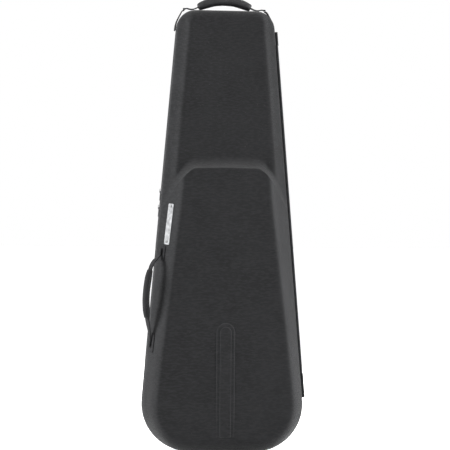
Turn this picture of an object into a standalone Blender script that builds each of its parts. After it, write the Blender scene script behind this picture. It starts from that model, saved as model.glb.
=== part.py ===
"""A moulded electric guitar case, closed and standing on its bottom end.

The case is a clamshell: a front shell (the lid) and a rear shell (the tray), joined by a fabric
hinge down the right side and closed by a zip round the rest of the outline. Units are metres and
+Z is up. The front faces -Y, the zip lies in the plane Y = 0, and the origin is the middle of the
bottom. Distances from the outline towards the middle are called insets, and distances from the
zip plane towards a shell's crown are called depths.
"""

import collections
import math

import bmesh
import bpy
from mathutils import Matrix, Vector

# Outline of both shells, seen from the front
CASE_HEIGHT = 1.067
BASE_HALF_WIDTH = 0.206
TOP_HALF_WIDTH = 0.116
BOTTOM_CORNER = 0.112
TOP_CORNER = 0.046

# Shells
RIM_DEPTH = 0.008
BODY_DEPTH = 0.0596
NECK_DEPTH = 0.0350
REAR_DEPTH = 0.0620
SHELL_WALL = 0.0040
LINING_WALL = 0.0025
FRONT_LINING_GAP = 0.0016
PLATEAU_DISH = 0.0008

# Ridge round the front shell: its inset grows up the body and is constant on the neck
RIDGE_INSET_LOW = 0.028
RIDGE_INSET_HIGH = 0.044
RIDGE_LOW_Z = 0.170
RIDGE_HIGH_Z = 0.607
NECK_RIDGE_INSET = 0.027
RIDGE_FOOT = 0.011

# Arched step from the body section down to the neck section
ARCH_CREST_Z = 0.685
ARCH_RAMP = 0.032
ARCH_FALL = 0.112
ARCH_REACH = 0.075
ARCH_POWER = 1.65

# Embossed rib on the front, an outer panel with a narrower one on it
RIB_HALF_WIDTH = 0.0220
RIB_CORE_HALF_WIDTH = 0.0135
RIB_TOP_Z = 0.311
RIB_BOTTOM_Z = 0.038
RIB_RELIEF = 0.0010
RIB_CORE_RELIEF = 0.0008

# Zip and piping. RIM_SLANT is how far a rim's inner edge reaches past its outer one
FIT = 0.0003
RIM_SLANT = 0.0009
PIPING_RADIUS = 0.0017
TAPE_THICK = 0.0010
COIL_RADIUS = 0.0013
ZIP_GAP = 0.0013
ZIP_LOW_Z = 0.128
ZIP_HIGH_Z = 1.018

# Hinge on the right side
HINGE_STANDOFF = 0.0036
SPINE_RADIUS = 0.0032
SPINE_FLANGE = 0.024
SPINE_TAB_RADIUS = 0.0042
SPINE_TAB_FLANGE = 0.016
SPINE_LOW_Z = 0.187
SPINE_HIGH_Z = 0.985
LEAF_THICK = 0.0009
LEAF_DEPTH = 0.0135

# Sliders and pulls on the left side
SLIDER_UPPER_Z = 0.628
SLIDER_LOWER_Z = 0.589
SLIDER_LENGTH = 0.014
SLIDER_PLATE = 0.0012
SLIDER_HALF_WIDTH = 0.0035
BAIL_HALF_LENGTH = 0.0050
BAIL_WIDTH = 0.0022
BAIL_BAR = 0.0010
PIN_RADIUS = 0.0007
PULL_LENGTH = 0.0235
PULL_HALF_WIDTH = 0.0042
PULL_THICK = 0.0014

# Metal plate on the left wall
PLATE_LOW_Z = 0.499
PLATE_HIGH_Z = 0.597
PLATE_WIDTH = 0.0160
PLATE_THICK = 0.0008
RIVET_HEAD_RADIUS = 0.0030
RIVET_SHANK_RADIUS = 0.0012
RIVET_HEAD_HEIGHT = 0.0011
RIVET_EDGE = 0.0065

# Side handle on the left wall
SIDE_PIVOT_HIGH_Z = 0.474
SIDE_PIVOT_LOW_Z = 0.268
SIDE_PIVOT_RADIUS = 0.0024
SIDE_TAB_THICK = 0.0016
SIDE_TAB_WIDTH = 0.0210
SIDE_TAB_HIGH_LENGTH = 0.034
SIDE_TAB_LOW_LENGTH = 0.046
SIDE_WEB_THICK = 0.0026
SIDE_WEB_WIDTH = 0.0120
SIDE_WEB_NARROW = 0.0046
SIDE_GRIP_RADIUS = 0.0090
SIDE_GRIP_LOW_Z = 0.322
SIDE_GRIP_HIGH_Z = 0.442

# Top handle on the rear shell's shoulders
TOP_HANDLE_Y = 0.026
TOP_PIVOT_X = 0.0975
TOP_PIVOT_Z = 1.0728
TOP_ROLL_RADIUS = 0.0022
TOP_WEB_THICK = 0.0024
TOP_WEB_WIDTH = 0.024
TOP_WEB_NARROW = 0.012
TOP_GRIP_HALF_LENGTH = 0.0645
TOP_GRIP_RADIUS = 0.0125
TOP_GRIP_END_RADIUS = 0.0085
TOP_GRIP_Z = 1.094

# Foam supports in the tray
PAD_INSET = 0.027
PAD_FRONT_Y = 0.012
CRADLE_Z = 0.640
CRADLE_LENGTH = 0.060
CRADLE_HALF_WIDTH = 0.070
CRADLE_FRONT_Y = 0.008
NECK_HALF_WIDTH = 0.031
NECK_FLOOR_Y = 0.034
BOUT_PAD_Z = 0.440
BOUT_PAD_HALF_LENGTH = 0.075
BOUT_PAD_DEPTH = 0.030
BUTT_PAD_DEPTH = 0.030
BUTT_PAD_HALF_WIDTH = 0.120
HEAD_PAD_LOW_Z = 0.955
HEAD_PAD_HIGH_Z = 1.040
HEAD_PAD_HALF_WIDTH = 0.062
HEAD_PAD_FRONT_Y = 0.030

SLOPE = (BASE_HALF_WIDTH - TOP_HALF_WIDTH) / CASE_HEIGHT
LEAN = math.atan(SLOPE)
TURN_LOW = math.pi / 2 + LEAN
TURN_HIGH = math.pi / 2 - LEAN

Station = collections.namedtuple("Station", "x z nx nz side low high body")


# Small helpers


def mix(a, b, share):
    return a + (b - a) * share


def smooth(share):
    share = min(1.0, max(0.0, share))
    return share * share * (3.0 - 2.0 * share)


def clear_scene():
    for obj in list(bpy.data.objects):
        bpy.data.objects.remove(obj, do_unlink=True)


def collection(name):
    found = bpy.data.collections.new(name)
    bpy.context.scene.collection.children.link(found)
    return found


def material(name, colour, roughness, metallic=0.0):
    made = bpy.data.materials.new(name)
    made.use_nodes = True
    shader = made.node_tree.nodes["Principled BSDF"]
    shader.inputs["Base Color"].default_value = (*colour, 1.0)
    shader.inputs["Roughness"].default_value = roughness
    shader.inputs["Metallic"].default_value = metallic
    return made


def add_object(name, data, look, parent=None):
    obj = bpy.data.objects.new(name, data)
    if look is None:
        CUTTERS.objects.link(obj)
        obj.hide_render = True
        obj.display_type = "WIRE"
    else:
        PARTS.objects.link(obj)
        data.materials.append(look)
    if parent is not None:
        obj.parent = parent
        obj.matrix_parent_inverse = parent.matrix_world.inverted()
    return obj


def add_pivot(name, place):
    """An empty on a joint's axis, which carries the moving pieces."""
    pivot = bpy.data.objects.new(name, None)
    pivot.empty_display_size = 0.03
    pivot.location = place
    PARTS.objects.link(pivot)
    bpy.context.view_layer.update()
    return pivot


def mesh_from(name, points, faces):
    mesh = bpy.data.meshes.new(name)
    mesh.from_pydata([tuple(point) for point in points], [], faces)
    mesh.validate()
    return mesh


def face_outward(mesh):
    work = bmesh.new()
    work.from_mesh(mesh)
    bmesh.ops.recalc_face_normals(work, faces=work.faces)
    work.to_mesh(mesh)
    work.free()


def shade_round(obj, sharp=35):
    obj.data.shade_smooth()
    obj.data.set_sharp_from_angle(angle=math.radians(sharp))


def solidify(obj, thickness, offset):
    shell = obj.modifiers.new("wall", "SOLIDIFY")
    shell.thickness = thickness
    shell.offset = offset
    shell.use_even_offset = True
    return shell


def mirror_x(obj):
    half = obj.modifiers.new("other half", "MIRROR")
    half.merge_threshold = 0.0001
    return half


def boolean(obj, other, operation, solver="EXACT"):
    cut = obj.modifiers.new(other.name, "BOOLEAN")
    cut.operation = operation
    cut.object = other
    cut.solver = solver
    return cut


def bevel(obj, width, segments=2):
    edge = obj.modifiers.new("edges", "BEVEL")
    edge.width = width
    edge.segments = segments
    edge.limit_method = "ANGLE"
    edge.angle_limit = math.radians(40)
    return edge


def poly_curve(name, points, closed, flat=False, radii=None):
    curve = bpy.data.curves.new(name, "CURVE")
    curve.dimensions = "2D" if flat else "3D"
    spline = curve.splines.new("POLY")
    spline.points.add(len(points) - 1)
    for index, point in enumerate(points):
        place = (point[0], point[1], 0.0 if flat else point[2])
        spline.points[index].co = (*place, 1.0)
        if radii is not None:
            spline.points[index].radius = radii[index]
    spline.use_cyclic_u = closed
    return curve


def as_mesh(obj):
    """Turns a curve object into a closed mesh object in the same place."""
    bpy.context.view_layer.update()
    graph = bpy.context.evaluated_depsgraph_get()
    mesh = bpy.data.meshes.new_from_object(obj.evaluated_get(graph))
    work = bmesh.new()
    work.from_mesh(mesh)
    bmesh.ops.remove_doubles(work, verts=work.verts, dist=1e-6)
    bmesh.ops.recalc_face_normals(work, faces=work.faces)
    work.to_mesh(mesh)
    work.free()
    name = obj.name
    made = bpy.data.objects.new(name + ".mesh", mesh)
    for group in obj.users_collection:
        group.objects.link(made)
    made.parent = obj.parent
    made.matrix_parent_inverse = obj.matrix_parent_inverse
    made.matrix_basis = obj.matrix_basis
    made.hide_render = obj.hide_render
    made.display_type = obj.display_type
    bpy.data.objects.remove(obj, do_unlink=True)
    made.name = name
    return made


def prism(name, outline, half_length, look, parent=None):
    """A flat outline in the object's XY plane, drawn out both ways along its Z."""
    curve = poly_curve(name, outline, closed=True, flat=True)
    curve.fill_mode = "BOTH"
    curve.extrude = half_length
    return add_object(name, curve, look, parent)


def tube(name, points, radius, look, parent=None, closed=False, sides=2, radii=None):
    curve = poly_curve(name, points, closed, radii=radii)
    curve.bevel_depth = radius
    curve.bevel_resolution = sides
    curve.use_fill_caps = not closed
    return add_object(name, curve, look, parent)


def strap_mesh(name, path, widths, thickness, across):
    """A strap of rectangular section along a path, its width lying along `across`."""
    across = Vector(across).normalized()
    points = []
    for index, place in enumerate(path):
        before = Vector(path[max(index - 1, 0)])
        after = Vector(path[min(index + 1, len(path) - 1)])
        out = across.cross((after - before).normalized()).normalized()
        half = across * widths[index] / 2
        up = out * thickness / 2
        middle = Vector(place)
        points += [middle - half - up, middle + half - up, middle + half + up, middle - half + up]
    faces = [(3, 2, 1, 0)]
    for index in range(len(path) - 1):
        start = 4 * index
        for side in range(4):
            turn = (side + 1) % 4
            faces.append((start + side, start + turn, start + 4 + turn, start + 4 + side))
    last = 4 * (len(path) - 1)
    faces.append((last, last + 1, last + 2, last + 3))
    mesh = mesh_from(name, points, faces)
    face_outward(mesh)
    return mesh


def curve_through(points, steps):
    """Points of a smooth curve through the given ones."""
    found = []
    spots = [Vector(point) for point in points]
    spots = [2 * spots[0] - spots[1], *spots, 2 * spots[-1] - spots[-2]]
    for index in range(1, len(spots) - 2):
        a, b, c, d = spots[index - 1 : index + 3]
        for step in range(steps):
            t = step / steps
            line = 2 * b + (c - a) * t + (2 * a - 5 * b + 4 * c - d) * t**2
            found.append((line + (3 * b - a - 3 * c + d) * t**3) / 2)
    found.append(spots[-2])
    return found


# Outline


def half_width(z):
    return BASE_HALF_WIDTH - SLOPE * z


def corner_centre(radius, z):
    return half_width(z) - radius / math.cos(LEAN), z


LOW_CENTRE = corner_centre(BOTTOM_CORNER, BOTTOM_CORNER)
HIGH_CENTRE = corner_centre(TOP_CORNER, CASE_HEIGHT - TOP_CORNER)
SIDE_LOW_Z = LOW_CENTRE[1] + BOTTOM_CORNER * math.sin(LEAN)
SIDE_HIGH_Z = HIGH_CENTRE[1] + TOP_CORNER * math.sin(LEAN)


def arch_fall(inset):
    """How far the arch's crest lies below its middle, at this inset."""
    return ARCH_FALL * max(0.0, 1.0 - inset / ARCH_REACH) ** ARCH_POWER


def arch_rows(drop):
    """Heights of the rows across the arched step, each with its share of the body's depth."""
    rows = []
    for share in (-0.12, 0.0, 0.15, 0.35, 0.6, 0.85, 1.05):
        level = 1.0 if share < 0 else (1.0 - min(share, 1.0)) ** 2 * 0.96
        rows.append((ARCH_CREST_Z - drop + ARCH_RAMP * share, level))
    return rows


def side_rows(below, above, drop):
    """Side rows below, across and above the arched step, as (height, body share)."""
    arch = arch_rows(drop)
    low, high = arch[0][0], arch[-1][0]
    rows = [(mix(SIDE_LOW_Z, low, i / below), 1.0) for i in range(1, below)]
    rows += arch
    rows += [(mix(high, SIDE_HIGH_Z, i / above), 0.0) for i in range(1, above)]
    return rows


def plain_rows(count, body=1.0):
    return [(mix(SIDE_LOW_Z, SIDE_HIGH_Z, i / count), body) for i in range(1, count)]


def arc_stations(centre, radius, start, turn, steps, low, body):
    made = []
    for step in range(steps + 1):
        angle = start + turn * step / steps
        nx, nz = math.cos(angle), math.sin(angle)
        share = smooth(step / steps)
        weights = (1.0 - share, 0.0) if low else (0.0, share)
        spot = (centre[0] + radius * nx, centre[1] + radius * nz)
        made.append(Station(*spot, nx, nz, False, *weights, body))
    return made


def half_outline(flat_low, arc_low, rows, arc_high, flat_high):
    """Stations up the right half of the outline, from its bottom middle to its top middle."""
    made = []
    for step in range(flat_low):
        made.append(Station(LOW_CENTRE[0] * step / flat_low, 0.0, 0.0, -1.0, False, 1.0, 0.0, 1.0))
    made += arc_stations(LOW_CENTRE, BOTTOM_CORNER, -math.pi / 2, TURN_LOW, 2 * arc_low, True, 1.0)
    for z, body in rows:
        made.append(
            Station(half_width(z), z, math.cos(LEAN), math.sin(LEAN), True, 0.0, 0.0, body)
        )
    top_body = rows[-1][1] if rows else 1.0
    made += arc_stations(HIGH_CENTRE, TOP_CORNER, LEAN, TURN_HIGH, 2 * arc_high, False, top_body)
    for step in range(1, flat_high + 1):
        x = HIGH_CENTRE[0] * (1.0 - step / flat_high)
        made.append(Station(x, CASE_HEIGHT, 0.0, 1.0, False, 0.0, 1.0, top_body))
    return made


# Shell profiles, as (inset, depth) from the rim to the plateau


def ridge_inset(z):
    share = (z - RIDGE_LOW_Z) / (RIDGE_HIGH_Z - RIDGE_LOW_Z)
    return mix(RIDGE_INSET_LOW, RIDGE_INSET_HIGH, min(1.0, max(0.0, share)))


def body_profile(z):
    ridge = ridge_inset(z)
    foot = ridge - RIDGE_FOOT
    return [
        (0.0, RIM_DEPTH),
        (0.001, RIM_DEPTH + 0.006),
        (foot / 2, BODY_DEPTH * 0.46),
        (foot, BODY_DEPTH - 0.0166),
        (ridge - 0.005, BODY_DEPTH - 0.0086),
        (ridge, BODY_DEPTH - 0.0031),
        (ridge + 0.004, BODY_DEPTH - 0.0006),
        (ridge + 0.010, BODY_DEPTH),
    ]


def neck_profile(z):
    ridge = NECK_RIDGE_INSET
    return [
        (0.0, RIM_DEPTH),
        (0.001, RIM_DEPTH + 0.005),
        (ridge - 0.018, NECK_DEPTH - 0.0165),
        (ridge - 0.010, NECK_DEPTH - 0.0110),
        (ridge - 0.005, NECK_DEPTH - 0.0065),
        (ridge, NECK_DEPTH - 0.0020),
        (ridge + 0.004, NECK_DEPTH - 0.0004),
        (ridge + 0.010, NECK_DEPTH),
    ]


def bottom_profile(z):
    return [
        (0.0, RIM_DEPTH),
        (0.0, RIM_DEPTH + 0.012),
        (0.0, RIM_DEPTH + 0.018),
        (0.0005, BODY_DEPTH - 0.0276),
        (0.006, BODY_DEPTH - 0.0146),
        (0.016, BODY_DEPTH - 0.0056),
        (0.024, BODY_DEPTH - 0.0011),
        (0.032, BODY_DEPTH),
    ]


def top_profile(z):
    return [
        (0.0, RIM_DEPTH),
        (0.0005, RIM_DEPTH + 0.006),
        (0.0015, RIM_DEPTH + 0.010),
        (0.003, NECK_DEPTH - 0.0130),
        (0.008, NECK_DEPTH - 0.0070),
        (0.016, NECK_DEPTH - 0.0020),
        (0.021, NECK_DEPTH - 0.0004),
        (0.028, NECK_DEPTH),
    ]


def rear_side_profile(z):
    return [
        (0.0, RIM_DEPTH),
        (0.001, REAR_DEPTH - 0.030),
        (0.0025, REAR_DEPTH - 0.014),
        (0.007, REAR_DEPTH - 0.004),
        (0.014, REAR_DEPTH - 0.0005),
        (0.024, REAR_DEPTH),
    ]


def rear_end_profile(z):
    return [
        (0.0, RIM_DEPTH),
        (0.0, REAR_DEPTH - 0.030),
        (0.0, REAR_DEPTH - 0.012),
        (0.005, REAR_DEPTH - 0.0035),
        (0.014, REAR_DEPTH - 0.0005),
        (0.024, REAR_DEPTH),
    ]


FRONT = (body_profile, neck_profile, bottom_profile, top_profile)
REAR = (rear_side_profile, rear_side_profile, rear_end_profile, rear_end_profile)


def inset_profile(profile, gap):
    """The profile moved inward by a gap, measured square to it."""
    if gap == 0.0:
        return profile
    moved = []
    for index, (inset, depth) in enumerate(profile):
        normals = []
        for a, b in ((index - 1, index), (index, index + 1)):
            if a < 0 or b >= len(profile):
                continue
            run = Vector(profile[b]) - Vector(profile[a])
            normals.append(Vector((run.y, -run.x)).normalized())
        bend = normals[0] + normals[-1]
        move = bend * gap / (1.0 + normals[0].dot(normals[-1]))
        spot = Vector((inset, depth)) + move
        if index == 0:
            spot.y = depth
        moved.append((spot.x, spot.y))
    return moved


def profile_at(station, family, z, gap):
    body, neck, bottom, top = (
        inset_profile(kind(z), gap) for kind in family
    )
    blended = []
    for index in range(len(body)):
        pair = []
        for axis in range(2):
            value = mix(neck[index][axis], body[index][axis], station.body)
            value = mix(value, bottom[index][axis], station.low)
            pair.append(mix(value, top[index][axis], station.high))
        blended.append(pair)
    return blended


def arch_pull(z, drop):
    """1 where the rows follow the arch, falling to 0 well below and above it."""
    low = ARCH_CREST_Z - drop - 0.02
    high = ARCH_CREST_Z - drop + ARCH_RAMP + 0.02
    if z < low:
        return max(0.0, (z - 0.25) / (low - 0.25))
    if z > high:
        return max(0.0, (0.96 - z) / (0.96 - high))
    return 1.0


def bend_to_arch(x, z, drop):
    """Moves a point down along its own inset line, so that rows follow the arch."""
    inset = (half_width(z) - x) * math.cos(LEAN)
    fall = arch_fall(inset) * arch_pull(z, drop)
    return x + SLOPE * fall, z - fall


def ring_spot(station, family, ring, gap, drop):
    """One ring's point at a station, before the rows are bent, and its depth."""
    if not station.side:
        inset, depth = profile_at(station, family, station.z, gap)[ring]
        return station.x - station.nx * inset, station.z - station.nz * inset, depth
    z = station.z
    for _ in range(3):
        inset, depth = profile_at(station, family, z, gap)[ring]
        fall = arch_fall(inset) * arch_pull(station.z, drop) if drop is not None else 0.0
        z = station.z - fall
    return half_width(station.z) - inset / math.cos(LEAN), station.z, depth


def patch(low, high, left, right, columns, rows):
    """Points of a four-sided patch between its edges, rows running from `low` to `high`."""
    grid = []
    for row in range(rows + 1):
        v = (left[row].y - left[0].y) / (left[rows].y - left[0].y)
        line = []
        for column in range(columns + 1):
            u = column / columns
            sides = left[row].lerp(right[row], u)
            ends = low[column].lerp(high[column], v)
            corners = low[0].lerp(low[columns], u).lerp(high[0].lerp(high[columns], u), v)
            line.append(sides + ends - corners)
        grid.append(line)
    return grid


def shell_half(name, family, stations, columns, facing, rings=None, gap=0.0, drop=0.0):
    """The right half of a shell's surface. `facing` is -1 for the front and 1 for the rear.

    Each profile point makes a ring round the shell, and the plateau inside the last ring is a
    patch. `drop` is None on a shell without the arched step.
    """
    if rings is None:
        rings = range(len(family[0](0.0)))
    flat = [[ring_spot(station, family, ring, gap, drop) for station in stations] for ring in rings]
    last = [Vector(spot) for spot in flat[-1]]
    rows = len(stations) - 1 - 2 * columns
    hollow = 0.0 if drop is None else PLATEAU_DISH
    middle = []
    first_side = next(i for i, station in enumerate(stations) if station.side) - 1 - columns
    last_side = max(i for i, station in enumerate(stations) if station.side) + 1 - columns
    for row in range(rows + 1):
        station = stations[columns + row]
        if row < first_side:
            z = mix(last[0].y, last[columns + first_side].y, row / first_side)
        elif row > last_side:
            share = (row - last_side) / (rows - last_side)
            z = mix(last[columns + last_side].y, last[-1].y, share)
        else:
            z = last[columns + row].y
        dish = hollow * smooth(min(z - last[0].y, last[-1].y - z) / 0.08)
        middle.append(Vector((0.0, z, last[columns + row].z - dish)))
    low = last[: columns + 1]
    high = last[: -columns - 2 : -1]
    right = last[columns : columns + rows + 1]
    grid = patch(low, high, middle, right, columns, rows)

    def place(x, z, depth):
        if drop is not None:
            x, z = bend_to_arch(x, z, drop)
        return (max(x, 0.0), facing * depth, z)

    points = [place(*spot) for ring in flat for spot in ring]
    count = len(stations)
    faces = []
    for ring in range(len(flat) - 1):
        for index in range(count - 1):
            a = ring * count + index
            faces.append((a, a + 1, a + count + 1, a + count))
    start = len(points)
    inner = {}
    edge = (len(flat) - 1) * count
    for row in range(rows + 1):
        for column in range(columns + 1):
            if row == 0:
                inner[row, column] = edge + column
            elif row == rows:
                inner[row, column] = edge + count - 1 - column
            elif column == columns:
                inner[row, column] = edge + columns + row
            else:
                inner[row, column] = start + (row - 1) * columns + column
                points.append(place(*grid[row][column]))
    for row in range(rows):
        for column in range(columns):
            a, b = inner[row, column], inner[row, column + 1]
            c, d = inner[row + 1, column + 1], inner[row + 1, column]
            faces.append((a, b, c, d))
    if facing > 0:
        faces = [face[::-1] for face in faces]
    return mesh_from(name, points, faces)


# Paths round the rim


def rim_path(inset, arc_steps_low=8, arc_steps_high=5):
    """The outline at an inset, once round from the right side's lower end, as (x, z)."""
    low = arc_stations(LOW_CENTRE, BOTTOM_CORNER, -math.pi / 2, TURN_LOW, arc_steps_low, True, 1.0)
    high = arc_stations(HIGH_CENTRE, TOP_CORNER, LEAN, TURN_HIGH, arc_steps_high, False, 1.0)
    right = [(s.x - s.nx * inset, s.z - s.nz * inset) for s in low + high]
    left = [(-x, z) for x, z in right]
    start = len(low)
    return right[:start][::-1] + left + right[start:][::-1]


def zip_path(inset):
    """The open run of the zip: down the right side's end, round, and back to its upper end."""
    def side_point(z):
        return half_width(z) - inset / math.cos(LEAN), z

    return [side_point(ZIP_LOW_Z + 0.004), *rim_path(inset)]


# Places on the left wall of the front shell


def wall_point(z, ring, share):
    """A point on the left wall between one ring and the next, and the wall's outward normal."""
    profile = body_profile(z)
    start, end = Vector(profile[ring]), Vector(profile[ring + 1])
    inset, depth = start.lerp(end, share)
    run = (end - start).normalized()
    out = Vector((-run.y, -run.x, 0.0))
    place = Vector((-(half_width(z) - inset / math.cos(LEAN)), -depth, z))
    return place, out.normalized()


def left_side_point(z, out, y=0.0):
    """A point off the left side line, by its distance outward from the outline."""
    return Vector((-(half_width(z) + out / math.cos(LEAN)), y, z))


def side_frame(place, right_side):
    """Axes of a piece on a side: X outward from the case, Z up along the side line."""
    sign = 1.0 if right_side else -1.0
    out = Vector((sign * math.cos(LEAN), 0.0, math.sin(LEAN)))
    up = Vector((-sign * math.sin(LEAN), 0.0, math.cos(LEAN)))
    frame = Matrix((out, up.cross(out), up)).transposed().to_4x4()
    frame.translation = place
    return frame


# Materials and collections

clear_scene()
PARTS = collection("guitar_case")
CUTTERS = collection("cutters")

FABRIC = material("shell_fabric", (0.024, 0.025, 0.027), 0.85)
PLUSH = material("lining_plush", (0.030, 0.030, 0.034), 0.95)
TAPE = material("zip_tape", (0.012, 0.012, 0.013), 0.80)
COIL = material("zip_coil", (0.015, 0.015, 0.016), 0.45)
ZIP_METAL = material("zip_metal", (0.060, 0.060, 0.064), 0.35, 0.9)
WEBBING = material("webbing", (0.018, 0.018, 0.020), 0.75)
LEATHER = material("grip_leather", (0.020, 0.020, 0.021), 0.45)
PIPING = material("piping", (0.020, 0.020, 0.022), 0.60)
ALUMINIUM = material("plate_aluminium", (0.55, 0.56, 0.57), 0.40, 0.9)
RIVET = material("rivet_metal", (0.10, 0.10, 0.11), 0.35, 0.9)
FOAM = material("foam", (0.035, 0.035, 0.038), 0.95)

hinge_foot = Vector((half_width(SPINE_LOW_Z) + HINGE_STANDOFF / math.cos(LEAN), 0.0, SPINE_LOW_Z))
LID = add_pivot("lid_pivot", hinge_foot)


# Shells and linings


def make_front_shell():
    outline = half_outline(3, 5, side_rows(7, 6, 0.0), 3, 5)
    mesh = shell_half("front_shell", FRONT, outline, 8, -1)
    shell = add_object("front_shell", mesh, FABRIC, LID)
    mirror_x(shell)
    solidify(shell, SHELL_WALL, -1)
    panels = (
        (RIB_HALF_WIDTH, RIB_TOP_Z, RIB_RELIEF),
        (RIB_CORE_HALF_WIDTH, RIB_TOP_Z - 0.009, RIB_RELIEF + RIB_CORE_RELIEF),
    )
    for index, (half, top, relief) in enumerate(panels):
        panel = rib_panel("rib_%d" % (index + 1), half, top, relief)
        boolean(shell, panel, "UNION")
    shade_round(shell, 30)
    return shell


def rib_panel(name, half, top, relief):
    """A round-topped panel that stands proud of the plateau and is sunk into its wall."""
    steps = 12
    outline = [(-half, RIB_BOTTOM_Z), (half, RIB_BOTTOM_Z)]
    for step in range(steps + 1):
        angle = math.pi * step / steps
        outline.append((half * math.cos(angle), top - half + half * math.sin(angle)))
    panel = prism(name, outline, SHELL_WALL / 2, None)
    panel.rotation_euler = (math.pi / 2, 0.0, 0.0)
    panel.location = (0.0, SHELL_WALL / 2 - BODY_DEPTH - relief, 0.0)
    return as_mesh(panel)


def make_rear_shell():
    outline = half_outline(2, 4, plain_rows(7), 2, 4)
    mesh = shell_half("rear_shell", REAR, outline, 6, 1, drop=None)
    shell = add_object("rear_shell", mesh, FABRIC)
    mirror_x(shell)
    solidify(shell, SHELL_WALL, -1)
    shade_round(shell, 30)
    return shell


def make_front_lining():
    gap = SHELL_WALL + FRONT_LINING_GAP
    drop = 0.7 * gap
    outline = half_outline(2, 3, side_rows(5, 4, drop), 2, 3)
    mesh = shell_half("front_lining", FRONT, outline, 5, -1, (0, 2, 3, 5, 7), gap, drop)
    lining = add_object("front_lining", mesh, PLUSH, LID)
    mirror_x(lining)
    solidify(lining, LINING_WALL, -1)
    shade_round(lining, 30)


def make_rear_lining():
    outline = half_outline(1, 3, plain_rows(5), 2, 2)
    gap = SHELL_WALL + 2 * FIT
    mesh = shell_half("rear_lining", REAR, outline, 4, 1, (0, 2, 3, 5), gap, None)
    lining = add_object("rear_lining", mesh, PLUSH)
    mirror_x(lining)
    solidify(lining, LINING_WALL, -1)
    shade_round(lining, 30)


# Rim strips: piping, zip tapes and coils


def make_rim_strips():
    piping_y = RIM_DEPTH - RIM_SLANT - PIPING_RADIUS
    tape_inset = 2 * PIPING_RADIUS + FIT + TAPE_THICK / 2 + FIT
    tape_half = (RIM_DEPTH - RIM_SLANT - ZIP_GAP / 2) / 2
    tape_y = ZIP_GAP / 2 + tape_half
    coil_inset = tape_inset - TAPE_THICK / 2 - FIT - COIL_RADIUS
    coil_y = ZIP_GAP / 2 + COIL_RADIUS
    for side, facing, parent in (("front", -1, LID), ("rear", 1, None)):
        loop = [(x, facing * piping_y, z) for x, z in rim_path(PIPING_RADIUS)]
        tube(side + "_piping", loop, PIPING_RADIUS, PIPING, parent, closed=True, sides=1)
        run = [(x, facing * coil_y, z) for x, z in zip_path(coil_inset)]
        tube(side + "_zip_coil", run, COIL_RADIUS, COIL, parent, sides=1)
        curve = poly_curve(side + "_zip_tape", zip_path(tape_inset), closed=False, flat=True)
        curve.extrude = tape_half
        tape = add_object(side + "_zip_tape", curve, TAPE)
        tape.rotation_euler = (math.pi / 2, 0.0, 0.0)
        tape.location = (0.0, facing * tape_y, 0.0)
        solidify(tape, TAPE_THICK, 0)
        if parent is not None:
            tape.parent = parent
            tape.matrix_parent_inverse = parent.matrix_world.inverted()


# Hinge


def spine_outline(radius, flange):
    """A round spine with a flat flange that lies along the rear shell's side."""
    inner = -HINGE_STANDOFF + FIT
    outer = inner + LEAF_THICK
    reach = math.sqrt(radius**2 - outer**2)
    start = math.atan2(math.sqrt(max(radius**2 - inner**2, 0.0)), inner) if radius > -inner else math.pi
    end = 2 * math.pi + math.atan2(reach, outer)
    steps = 14
    points = [(inner, flange)]
    for step in range(steps + 1):
        angle = mix(start, end, step / steps)
        points.append((radius * math.cos(angle), radius * math.sin(angle)))
    points.append((outer, flange))
    return points


def make_hinge():
    runs = (
        ("hinge_spine", SPINE_RADIUS, SPINE_FLANGE, SPINE_LOW_Z, SPINE_HIGH_Z),
        ("zip_end_tab_lower", SPINE_TAB_RADIUS, SPINE_TAB_FLANGE, ZIP_LOW_Z, SPINE_LOW_Z - FIT),
        ("zip_end_tab_upper", SPINE_TAB_RADIUS, SPINE_TAB_FLANGE, SPINE_HIGH_Z + FIT, ZIP_HIGH_Z),
    )
    for name, radius, flange, low, high in runs:
        outline = spine_outline(radius, flange)
        middle = (low + high) / 2
        half = (high - low) / 2 / math.cos(LEAN)
        place = (half_width(middle) + HINGE_STANDOFF / math.cos(LEAN), 0.0, middle)
        spine = prism(name, outline, half, FABRIC if name == "hinge_spine" else WEBBING)
        spine.matrix_world = side_frame(place, True)
    inner = -HINGE_STANDOFF + FIT
    outer = inner + LEAF_THICK
    near = -math.sqrt((SPINE_RADIUS + 2 * FIT) ** 2 - outer**2)
    leaf_outline = [(inner, -LEAF_DEPTH), (outer, -LEAF_DEPTH), (outer, near), (inner, near)]
    middle = (SPINE_LOW_Z + SPINE_HIGH_Z) / 2
    half = (SPINE_HIGH_Z - SPINE_LOW_Z) / 2 / math.cos(LEAN)
    place = (half_width(middle) + HINGE_STANDOFF / math.cos(LEAN), 0.0, middle)
    leaf = prism("hinge_leaf", leaf_outline, half, FABRIC)
    bpy.context.view_layer.update()
    leaf.parent = LID
    leaf.matrix_world = side_frame(place, True)


# Zip sliders and pulls, in a frame with X outward, Y across and Z along the zip


def slider_outline(coil_out):
    """An I section: a plate over the coils, a web between them and a plate under the tapes."""
    web = ZIP_GAP / 2 - FIT
    top = coil_out + FIT
    tape_under = coil_out - 2 * COIL_RADIUS - FIT - TAPE_THICK
    low = tape_under - FIT
    wide = SLIDER_HALF_WIDTH
    return [
        (low - SLIDER_PLATE, -wide),
        (low, -wide),
        (low, -web),
        (top, -web),
        (top, -wide),
        (top + SLIDER_PLATE, -wide),
        (top + SLIDER_PLATE, wide),
        (top, wide),
        (top, web),
        (low, web),
        (low, wide),
        (low - SLIDER_PLATE, wide),
    ]


def coil_outer():
    """Outer face of the coils, as a distance outward from the outline."""
    return -(2 * PIPING_RADIUS + FIT + FIT - FIT - 2 * COIL_RADIUS)


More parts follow.
